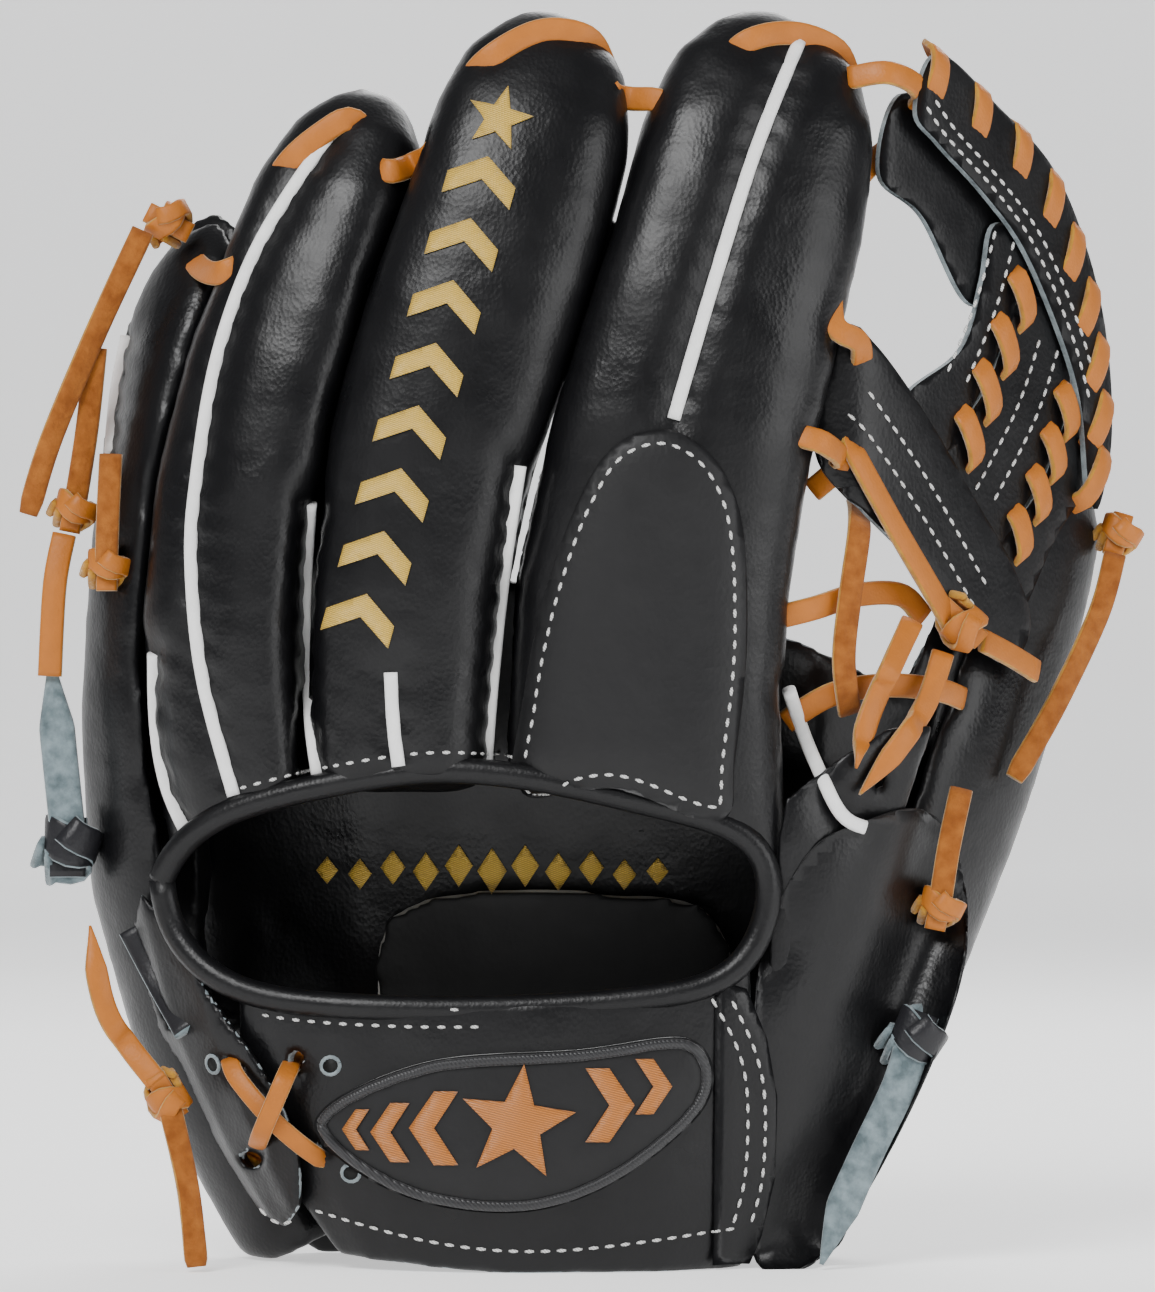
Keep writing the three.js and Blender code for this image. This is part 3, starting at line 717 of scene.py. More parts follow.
def stitch_run(
    bm: bmesh.types.BMesh,
    line: Sequence[Vector],
    skin: Callable[[Vector], Vector],
    long: float = 2.3,
    gap: float = 1.0,
) -> None:
    """Sew a running stitch along a line, its sizes in millimetres.

    Args:
        bm: Where the stitches are made.
        line: Points along the seam, in metres, closer together than a stitch.
        skin: Gives the surface's outward normal at a point.
        long: Length of a stitch.
        gap: Length of the space between two.
    """
    run = curve_through(line, (long + gap) * MM)
    for a, b in zip(run, run[1:]):
        along = (b - a).normalized()
        middle = a.lerp(b, 0.5)
        out = skin(middle)
        out = (out - along * out.dot(along)).normalized()
        turn = Matrix((along, along.cross(out) * -1, out)).transposed().to_4x4()
        made = bmesh.ops.create_uvsphere(bm, u_segments=6, v_segments=4, radius=0.5)["verts"]
        shape = Matrix.Diagonal((long * MM, 0.85 * MM, 0.7 * MM, 1))
        bmesh.ops.transform(bm, matrix=Matrix.Translation(middle) @ turn @ shape, verts=made)


def area_of(outline: Sequence[Vector]) -> float:
    """Twice the signed area of a closed line in x and z."""
    return sum(a.x * b.z - b.x * a.z for a, b in zip(outline, [*outline[1:], outline[0]]))


def inset(outline: Sequence[Pair], distance: float, step: float = 2.0) -> list[Pair]:
    """A closed smooth outline drawn distance inside another, in millimetres.

    Args:
        outline: Corners as x and z.
        distance: How far inside the new line runs.
        step: The distance between its points.
    Returns:
        The new line's points, the last one equal to the first.
    """
    rim = curve_through([Vector((x, 0, z)) for x, z in outline], step, closed=True)[:-1]
    way = 1 if area_of(rim) > 0 else -1
    moved = []
    for i, p in enumerate(rim):
        along = (rim[(i + 1) % len(rim)] - rim[i - 1]).normalized()
        moved.append((p.x - along.z * distance * way, p.z + along.x * distance * way))
    return [*moved, moved[0]]


def panel(
    bm: bmesh.types.BMesh,
    outline: Sequence[Pair],
    surface: Callable[[float, float], tuple[Vector, Vector]],
    thick: float,
    cell: float = 3.0,
    lift: float = 0.0,
    smooth: bool = True,
    crown: float = 0.0,
    rounding: float = 0.35,
) -> None:
    """Cut a sheet to an outline, lay it on a surface and give it thickness. All sizes are in millimetres.

    Args:
        bm: Where the sheet is made. Faces on its rim get material 1.
        outline: Its corners as x and z.
        surface: Gives the point and the outward normal under x and z, all in metres.
        thick: Its thickness.
        cell: The size of its faces.
        lift: How far it lies off the surface.
        smooth: Whether the outline is a smooth curve through the corners.
        crown: How much its middle stands above its rim.
        rounding: How much of the thickness is rounded off at the rim.
    """
    flat = [Vector((x, 0, z)) * MM for x, z in outline]
    rim = curve_through(flat, cell * 0.5 * MM, closed=True)[:-1] if smooth else flat
    older = set(bm.faces)
    corners = [bmesh.ops.create_vert(bm, co=p)["vert"][0] for p in rim]
    sheet = bm.faces.new(corners)
    bmesh.ops.inset_region(bm, faces=[sheet], thickness=min(0.7, cell * 0.3) * MM, use_boundary=True)
    for axis in (0, 2):
        low, high = min(p[axis] for p in rim), max(p[axis] for p in rim)
        for k in range(1, int((high - low) / (cell * MM)) + 1):
            at = Vector((0, 0, 0))
            at[axis] = low + k * cell * MM
            fresh = [f for f in bm.faces if f not in older]
            parts = [*{v for f in fresh for v in f.verts}, *{e for f in fresh for e in f.edges}, *fresh]
            bmesh.ops.bisect_plane(bm, geom=parts, plane_co=at, plane_no=Vector((axis == 0, 0, axis == 2)))
    under = [f for f in bm.faces if f not in older]
    made = bmesh.ops.extrude_face_region(bm, geom=under)["geom"]
    tops = {g for g in made if isinstance(g, bmesh.types.BMVert)}
    over = {g for g in made if isinstance(g, bmesh.types.BMFace)}
    sides = [f for f in bm.faces if f not in older and f not in over and f not in set(under)]
    tree = BVHTree.FromPolygons(
        [p + Vector((0, s, 0)) for p in rim for s in (-0.001, 0.001)],
        [
            (2 * i, 2 * i + 1, (2 * i + 3) % (2 * len(rim)), (2 * i + 2) % (2 * len(rim)))
            for i in range(len(rim))
        ],
    )
    for vert in {v for f in bm.faces if f not in older for v in f.verts}:
        hit, normal = surface(vert.co.x, vert.co.z)
        far = tree.find_nearest(vert.co)[3] / MM
        edge = math.sqrt(1 - (1 - min(1, far / 0.8)) ** 2)
        middle = min(1, far / 8) ** 0.6
        rise = thick - rounding * (1 - edge) + crown * middle if vert in tops else rounding * (1 - edge)
        vert.co = hit + normal * (lift + rise) * MM
    for face in sides:
        face.material_index = 1
    bmesh.ops.recalc_face_normals(bm, faces=bm.faces)


# ---- leather shells ---------------------------------------------------------------------------------------------


@dataclass
class Shell:
    """A finger, the palm or another leather body, softened from its hard shape.

    Attributes:
        name: The finished piece's name.
        nodes: The CAD nodes that it takes its shape from.
        part: What it moves with.
        finish: Its leather.
        cell: The size of its faces, in millimetres.
        easing: How many times its corners are smoothed.
        ripple: The height of its creases, in millimetres.
        seams: Lines of x and z on its back, in millimetres, where it is drawn in.
        edge: The finish of its cut edge, and how thick the sheet is, in millimetres.
        slot: The record's material slot. It is not used.
        pocket: Whether its seams are on the pocket side instead.
        draw: How far from a seam the leather is drawn in, in millimetres.
    """

    name: str
    nodes: tuple[str, ...]
    part: Part
    finish: bpy.types.Material
    cell: float = 2.0
    easing: int = 12
    ripple: float = 0.5
    seams: Sequence[Sequence[Pair]] = ()
    edge: tuple[bpy.types.Material, float] | None = None
    slot: str = "shell_leather"
    pocket: bool = False
    draw: float = 9.0

    def joined(self) -> bmesh.types.BMesh:
        """The nodes' shapes together, those on the thumb side drawn across the fold's gap."""
        bm = bmesh.new()
        side = (FOLD.across()[1] - FOLD.across()[0]).normalized()
        for node in self.nodes:
            mesh = frame["nodes"][node].data
            count = len(bm.verts)
            bm.from_mesh(mesh)
            bm.verts.ensure_lookup_table()
            if self.part is Part.FOLD and len(self.nodes) > 1:
                for vert in bm.verts[count:]:
                    off = (vert.co - FOLD.point).dot(side)
                    if abs(off) < 0.5 * MM:
                        vert.co -= side * math.copysign(1.2 * MM, off)
        bmesh.ops.remove_doubles(bm, verts=bm.verts, dist=1e-6)
        return bm

    def remeshed(self) -> bmesh.types.BMesh:
        """The joined shape with even faces."""
        mesh = bpy.data.meshes.new(self.name)
        rough = self.joined()
        rough.to_mesh(mesh)
        rough.free()
        holder = bpy.data.objects.new(self.name + "_rough", mesh)
        bpy.context.scene.collection.objects.link(holder)
        remesh = holder.modifiers.new("even", "REMESH")
        remesh.mode = "VOXEL"
        remesh.voxel_size = self.cell * MM
        bpy.context.view_layer.update()
        even = bmesh.new()
        even.from_mesh(holder.evaluated_get(bpy.context.evaluated_depsgraph_get()).to_mesh())
        bpy.data.objects.remove(holder)
        bpy.data.meshes.remove(mesh)
        return even

    def soften(self, bm: bmesh.types.BMesh) -> None:
        """Ease the corners, draw the leather in at its seams and crease it.

        Args:
            bm: The shape, which is changed.
        """
        for _ in range(self.easing):
            bmesh.ops.smooth_vert(
                bm, verts=bm.verts, factor=0.5, use_axis_x=True, use_axis_y=True, use_axis_z=True
            )
        bm.normal_update()
        pulls = [curve_through(metres((x, 0, z) for x, z in seam), 2 * MM) for seam in self.seams]
        moves = []
        for vert in bm.verts:
            p, out = vert.co, vert.normal
            wave = noise.noise(p * 26) * 0.75 + noise.noise(Vector((p.x * 90, p.y * 60, p.z * 45))) * 0.35
            fine = noise.noise(Vector((p.x * 150, p.y * 120, p.z * 230)))
            push = self.ripple * (wave + 0.22 * fine)
            sewn_side = out.y > 0.3 if self.pocket else out.y < 0.1
            for pull in pulls if sewn_side else ():
                gap = min(math.hypot(p.x - q.x, p.z - q.z) for q in pull) / MM
                if gap < self.draw:
                    pucker = 0.3 * math.sin(p.z * 900 + p.x * 500)
                    push -= (1.7 + pucker) * (1 - gap / self.draw) ** 2
            moves.append(out * push * MM)
        for vert, move in zip(bm.verts, moves):
            vert.co += move

    def mark_edge(self, bm: bmesh.types.BMesh) -> None:
        """Give the sheet's rim the second finish: those faces that look along the sheet.

        Args:
            bm: The sheet.
        """
        tree = BVHTree.FromBMesh(bm)
        thick = self.edge[1] * 1.9 * MM
        for face in bm.faces:
            centre = face.calc_center_median() - face.normal * 0.05 * MM
            hit = tree.ray_cast(centre, -face.normal)
            if hit[0] is not None and hit[3] > thick:
                face.material_index = 1

    def build(self) -> bpy.types.Object:
        """The finished piece."""
        bm = self.remeshed()
        self.soften(bm)
        finishes = [self.finish]
        if self.edge:
            self.mark_edge(bm)
            finishes.append(self.edge[0])
        return finished(self.name, bm, finishes, self.part, self.nodes)


SEAMS: dict[str, list[Pair]] = {
    "little_outer": [(-101, 206), (-103.5, 192), (-104, 180)],
    "ring_little": [(-55, 249), (-70, 225), (-79, 200), (-83.5, 172), (-84.5, 155), (-82, 130), (-75, 104)],
    "little_base": [(-93, 135), (-93, 120), (-90.5, 106), (-86, 96)],
    "ring_middle": [(-58.5, 168), (-60, 146), (-59, 126), (-56.5, 108)],
    "middle_base": [(-40.5, 131), (-40, 120), (-38.8, 110.5)],
    "middle_index": [(-12.5, 176), (-16, 153), (-18.5, 130), (-20, 110.5)],
    "index": [(49, 270), (39, 245), (29.5, 215), (21, 186)],
    "thumb": [(46.5, 127), (52, 112), (58, 99), (63, 97)],
}
POCKET_SEAMS: list[list[Pair]] = [
    [(-82, 206), (-84, 180), (-80, 150), (-66, 112), (-48, 88)],
    [(-47, 236), (-50, 200), (-52, 160), (-44, 122), (-34, 100)],
    [(-16, 182), (-18, 152), (-16, 122), (-10, 102)],
    [(-88, 60), (-60, 44), (-20, 36), (20, 40), (58, 58), (84, 92)],
]


@dataclass
class Body:
    """The palm, its lining and pad, the finger stalls and the thumb: everything that trim is laid on.

    Attributes:
        made: The finished pieces.
    """

    made: list[bpy.types.Object] = field(default_factory=list)

    def build(self) -> Skin:
        """Make the leather body.

        Returns:
            The surfaces that the trim is laid on.
        """
        seams = list(SEAMS.values())
        fold = Part.FOLD
        shells = [
            Shell(
                "palm", ("palm_leather", "thumb_leather"), fold, SHELL, 1.5, 10, 0.35, POCKET_SEAMS, (EDGE, 3.4),
                pocket=True,
            ),
            Shell("thumb", ("thumb_stall", "thumb_side_panel"), fold, SHELL, 1.9, 45, 0.5, seams[-1:]),
        ]
        for finger in ("little", "ring", "middle", "index"):
            name = finger + "_finger"
            shells.append(Shell(name, (name,), Part.HAND, SHELL, 1.8, 14, 0.6, seams))
        strap = Shell("wrist_strap", ("wrist_strap",), Part.HAND, SHELL, 1.2, 5, 0.4, (), (EDGE, 3.4))
        tab = Shell("strap_tab", ("strap_tab",), Part.HAND, SHELL, 1.0, 5, 0.3, (), (EDGE, 3.0))
        inner = [
            Shell("lining", ("palm_lining",), Part.HAND, LINER, 1.3, 6, 0.3, slot="lining"),
            Shell("felt_pad", ("felt_pad",), Part.HAND, FELTED, 2.0, 6, 0.4, slot="felt"),
        ]
        outer = [shell.build() for shell in (*shells, strap, tab)]
        self.made = outer + [shell.build() for shell in inner]
        return Skin(self.made)


# ---- seams and trim ---------------------------------------------------------------------------------------------


@dataclass
class Seams:
    """The white welts that stand up between the fingers.

    Attributes:
        skin: The leather that they stand on.
        width: Their width, in millimetres.
    """

    skin: Skin
    width: float = 3.1

    def build(self) -> None:
        """Make every welt."""
        for name, seam in SEAMS.items():
            bm = bmesh.new()
            eased = self.skin.laid([(*p, -0.1) for p in seam], step=1.6)
            if name == "thumb":
                bridge = self.skin.bridged(3.0)
                eased = [bridge(p.x, p.z)[0] + Vector((0, -0.6 * MM, 0)) for p in eased]
            for _ in range(6):
                between = [(a + b * 2 + c) / 4 for a, b, c in zip(eased, eased[1:], eased[2:])]
                eased = [eased[0], *between, eased[-1]]
            strip(bm, eased, Vector((0, -1, 0)), self.width, 2.6, 0.7)
            part = Part.FOLD if name == "thumb" else Part.HAND
            finished("welt_" + name, bm, [WELTING, WELTING], part, ["welt_" + name])


@dataclass
class Sewing:
    """Rows of white running stitch."""

    skin: Skin

    def row(self, bm: bmesh.types.BMesh, points: Sequence[Pair], long: float = 2.4, gap: float = 1.1) -> None:
        """Sew one row on the back.

        Args:
            bm: Where the stitches are made.
            points: The row's x and z, in millimetres.
            long: Length of a stitch, in millimetres.
            gap: Length of the space between two, in millimetres.
        """
        line = self.skin.laid(points, 0.25, 1.0)
        stitch_run(bm, line, lambda p: self.skin.at(p.x, p.z)[1], long, gap)


@dataclass
class PocketFace:
    """The stitching on the pocket side: along the fingers and across the heel."""

    skin: Skin

    def build(self) -> None:
        """Sew the rows."""
        bm = bmesh.new()
        for seam in POCKET_SEAMS:
            for shift in (-2.4, 2.4):
                run = []
                flat = curve_through([Vector((x + shift, 0, z + shift * 0.4)) * MM for x, z in seam], 1.5 * MM)
                for p in flat:
                    hit, normal = self.skin.at(p.x, p.z, 1)
                    run.append(hit + normal * 0.2 * MM)
                stitch_run(bm, run, lambda p: self.skin.at(p.x, p.z, 1)[1], 2.6, 1.3)
        finished("pocket_stitches", bm, [DARK_CORD], Part.FOLD)


@dataclass
class IndexPad:
    """The padded patch sewn on the back of the index finger.

    Attributes:
        skin: The leather that it lies on.
        outline: Its corners as x and z, in millimetres.
    """

    skin: Skin
    outline: Sequence[Pair] = (
        (-12, 104), (-11, 125), (-6.5, 148), (0.5, 168), (8, 180), (18, 183.5), (27, 180), (33, 172), (36, 160),
        (36.5, 136), (34, 112), (31, 99), (8, 106),
    )

    def build(self) -> None:
        """Make the patch and its stitches."""
        bm = bmesh.new()
        panel(bm, self.outline, self.skin.at, 1.9, 2.6, -0.3, crown=1.1)
        finished("index_pad", bm, [PATCH_LEATHER, PALE_EDGE], Part.HAND, ["index_pad"])
        bm = bmesh.new()
        inner = inset(self.outline, 2.9)
        sewing = [self.skin.at(x * MM, z * MM) for x, z in inner]
        line = [hit + normal * 2.25 * MM for hit, normal in sewing]
        stitch_run(bm, line, lambda p: self.skin.at(p.x, p.z)[1], 2.2, 1.2)
        finished("index_pad_stitches", bm, [STITCH], Part.HAND)


def star(x: float, z: float, radius: float, turn: float = 0.0) -> list[Pair]:
    """The corners of a five-pointed star about (x, z), in millimetres."""
    reach = [radius if i % 2 == 0 else radius * 0.42 for i in range(10)]
    return [
        (x + r * math.sin(turn + i * math.pi / 5), z + r * math.cos(turn + i * math.pi / 5))
        for i, r in enumerate(reach)
    ]


def chevron(x: float, z: float, wide: float, tall: float, turn: float) -> list[Pair]:
    """The corners of a V-shaped bar about (x, z) pointing along turn, in millimetres."""
    flat = [(-wide, -tall), (0, 0), (wide, -tall), (wide, 0.0), (0, tall * 1.05), (-wide, 0.0)]
    c, s = math.cos(turn), math.sin(turn)
    return [(x + px * c + pz * s, z - px * s + pz * c) for px, pz in flat]


@dataclass
class WristStrap:
    """The strap's trim: its sewn end, embroidered patch, stitching and lace holes.

    Attributes:
        skin: The leather that the patch lies on.
        patch: The patch's corners as x and z, in millimetres.
        with_end: The strap with its end, to sew on. It is made by end().
    """

    skin: Skin
    patch: Sequence[Pair] = ((-57, 33), (-34, 46), (0, 49), (25, 51), (28, 37), (8, 20), (-14, 13.5), (-40, 18))
    with_end: Skin | None = None

    def end(self) -> None:
        """The strap's curved end, sewn over the thumb's side."""
        outline = [(30, 64), (37, 62), (41.5, 51), (43.8, 38), (43.4, 20), (40.5, 7), (38, 1.2), (30, 1.2)]
        bm = bmesh.new()
        panel(bm, outline, self.skin.bridged(2.0), 1.9, 2.2, -1.3, smooth=False, rounding=0.6)
        piece = finished("strap_end", bm, [SHELL, SHELL], Part.HAND)
        strap = bpy.data.objects["wrist_strap_dressed"]
        self.with_end = Skin([piece, strap])

    def emblem(self) -> None:
        """The patch: a corded border round a star with chevrons on each side."""
        bm = bmesh.new()
        panel(bm, self.patch, self.skin.at, 1.5, 2.4, -0.2, crown=0.9)
        patch = finished("strap_patch", bm, [PATCH_LEATHER, PALE_EDGE], Part.HAND, ["strap_patch"])
        top = Skin([patch])
        bm = bmesh.new()
        line = [top.at(x * MM, z * MM) for x, z in inset(self.patch, 1.5)]
        ring = [hit + normal * 0.3 * MM for hit, normal in line]
        strip(bm, ring, Vector((0, -1, 0)), 2.2, 1.9, 0.9)
        finished("strap_patch_cord", bm, [DARK_CORD, DARK_CORD], Part.HAND)
        bm = bmesh.new()
        panel(bm, star(-13, 33, 13, 0.12), top.at, 1.1, 1.6, -0.1, smooth=False, crown=0.6)
        for x, z, size in ((-31, 32, 1.0), (-40.5, 31, 0.8), (-48, 31.5, 0.55), (7, 37, 1.0), (16.5, 41, 0.75)):
            turn = -math.pi / 2 if x < -13 else math.pi / 2
            panel(bm, chevron(x, z, 8 * size, 5.2 * size, turn), top.at, 1.0, 1.6, -0.1, smooth=False, crown=0.4)
        finished("strap_embroidery", bm, [COPPER, COPPER], Part.HAND)

    def stitching(self) -> None:
        """The rows of stitch along the strap's edges."""
        bm = bmesh.new()
        rows: list[list[Pair]] = [
            [(-74, 59), (-55, 58.5), (-25, 57.6)],
            [(-58, 13), (-30, 6.5), (-4, 5), (35, 9.3)],
            [(29, 60.5), (35, 49), (37.2, 38), (36.7, 20.5), (34, 9.8)],
            [(33.5, 60), (38.6, 49), (41, 38), (40.6, 20.5), (38, 9.8)],
            [(-70, 14), (-66, 10), (-62, 11)],
        ]
        sewing = Sewing(self.with_end)
        for row in rows:
            sewing.row(bm, row)
        finished("strap_stitches", bm, [STITCH], Part.HAND)

    def holes(self) -> None:
        """The punched lace holes, with their fuzzy rims."""
        bm = bmesh.new()
        for x, z in ((-53.7, 45.2), (-49.3, 21.7), (-79.8, 45), (-72.2, 23.9)):
            hit, normal = self.skin.at(x * MM, z * MM)
            turn = Vector((0, 0, 1)).rotation_difference(normal).to_matrix().to_4x4()
            place = Matrix.Translation(hit + normal * 0.15 * MM) @ turn
            ring = [
                place @ Vector((math.cos(a) * 2.2 * MM, math.sin(a) * 1.9 * MM, 0))
                for a in (2 * math.pi * i / 14 for i in range(15))
            ]
            strip(bm, ring, normal, 0.9, 0.7, 0.9, segments=8)
            disc = bmesh.ops.create_cone(
                bm, cap_ends=True, segments=14, radius1=2 * MM, radius2=2 * MM, depth=0.3 * MM, matrix=place
            )
            for face in {f for v in disc["verts"] for f in v.link_faces}:
                face.material_index = 3
        finishes = [EDGE, EDGE, EDGE, LINER]
        finished("strap_holes", bm, finishes, Part.HAND)

    def build(self) -> None:
        """Make all of the strap's trim."""
        self.end()
        self.emblem()
        self.stitching()
        self.holes()


@dataclass
class ThumbSide:
    """The leather that wraps from the wrist strap round to the thumb.

    Attributes:
        skin: The leather that it covers.
        outline: Its corners as x and z, in millimetres.
        easing: How many times it is smoothed.
    """

    skin: Skin
    outline: Sequence[Pair] = (
        (39, 3), (39, 60), (44, 80), (52, 93), (62, 98), (74, 101), (82, 96), (86, 84), (85.5, 68), (80, 50),
        (71, 30), (61, 12), (55, 3),
    )
    easing: int = 10

    def build(self) -> Skin:
        """Make the leather.

        Returns:
            The surfaces with this one over them.
        """
        bm = bmesh.new()
        panel(bm, self.outline, self.skin.bridged(5.0), 1.6, 3.0, -0.8, rounding=1.2)
        for _ in range(self.easing):
            bmesh.ops.smooth_vert(
                bm, verts=bm.verts, factor=0.5, use_axis_x=False, use_axis_y=True, use_axis_z=False
            )
        piece = finished("thumb_side_leather", bm, [SHELL, SHELL], Part.FOLD)
        return Skin([*(o for o in bpy.data.objects if o.name in self.skin.names), piece])


@dataclass
class WristOpening:
    """The rolled edge round the wrist opening, its stitches and its embroidered flourish.

    Attributes:
        skin: The leather round the opening.
        line: The opening's edge as x and z, in millimetres.
        radius: The roll's radius, in millimetres.
    """

    skin: Skin
    line: Sequence[Pair] = (
        (-90, 82), (-87, 91), (-73, 100), (-38, 107.5), (-15, 107), (10, 102), (35, 95), (41, 86), (36, 69),
        (24, 63), (-5, 60), (-40, 59.5), (-70, 62), (-84, 70),
    )
    radius: float = 2.9

    def build(self) -> None:
        """Make the roll and its trim."""
        rolled = Skin([frame["nodes"]["opening_binding"]])
        ring = []
        for x, z in inset(self.line, -0.6 * self.radius, 2.2):
            top, _ = rolled.at(x * MM, z * MM)
            ring.append(Vector((x * MM, top.y + (self.radius + 0.1) * MM, z * MM)))
        for _ in range(12):
            count = len(ring) - 1
            ring = [(ring[i - 1] + ring[i] * 2 + ring[(i + 1) % count]) / 4 for i in range(count)]
            ring.append(ring[0])
        bm = bmesh.new()
        strip(bm, ring, Vector((0, -1, 0)), self.radius * 2, self.radius * 2.1, 0.95, segments=18)
        nodes = ["opening_binding"]
        finished("opening_binding", bm, [ROLLED] * 3, Part.HAND, nodes)
        bm = bmesh.new()
        outer = [self.skin.at(x * MM, z * MM) for x, z in inset(self.line, -1.9 * self.radius, 1.5)]
        upper = [hit + normal * 0.25 * MM for hit, normal in outer if hit.z > 0.09 and -0.078 < hit.x < 0.034]
        lower = [hit + normal * 0.25 * MM for hit, normal in outer if hit.z < 0.066 and -0.07 < hit.x < -0.02]
        for run in (upper, lower):
            stitch_run(bm, sorted(run, key=lambda p: p.x), lambda p: self.skin.at(p.x, p.z)[1], 2.0, 1.6)
        finished("opening_stitches", bm, [STITCH], Part.HAND)
        self.flourish()

    def flourish(self) -> None:
        """The line of gold diamonds sewn on the leather inside."""
        bm = bmesh.new()
        for k in range(-5, 6):
            x, z = -19 + 7.4 * k, 86.5 - 0.05 * k * k + 1.2 * (k % 2)
            wide, tall = 3.3 - 0.16 * abs(k), 5.2 - 0.42 * abs(k)
            shape = [(x - wide, z), (x, z - tall), (x + wide, z), (x, z + tall)]
            panel(bm, shape, self.skin.at, 0.9, 1.6, -0.1, smooth=False, crown=0.4)
        finished("lining_embroidery", bm, [GOLD, GOLD], Part.HAND)


@dataclass
class FingerEmblem:
    """The column of satin chevrons sewn up the back of the middle finger.

    Attributes:
        skin: The leather that they are sewn on.
        foot: The lowest chevron's x and z, in millimetres.
        head: The star's x and z, in millimetres.
        count: How many chevrons there are.
    """

    skin: Skin
    foot: Pair = (-47, 143)
    head: Pair = (-17, 252)
    count: int = 8

    def build(self) -> None:
        """Make the chevrons and the star above them."""
        bm = bmesh.new()
        turn = math.atan2(self.head[0] - self.foot[0], self.head[1] - self.foot[1])
        for k in range(self.count):
            share = k / self.count
            x = self.foot[0] + (self.head[0] - self.foot[0]) * share
            z = self.foot[1] + (self.head[1] - self.foot[1]) * share
            shape = chevron(x, z, 7.6, 5.0, turn)
            panel(bm, shape, self.skin.at, 0.9, 1.8, -0.15, smooth=False, crown=0.5)
        panel(bm, star(*self.head, 7.5, turn), self.skin.at, 0.9, 1.6, -0.15, smooth=False, crown=0.4)
        finished("finger_embroidery", bm, [GOLD, GOLD], Part.HAND)


# ---- the web ----------------------------------------------------------------------------------------------------


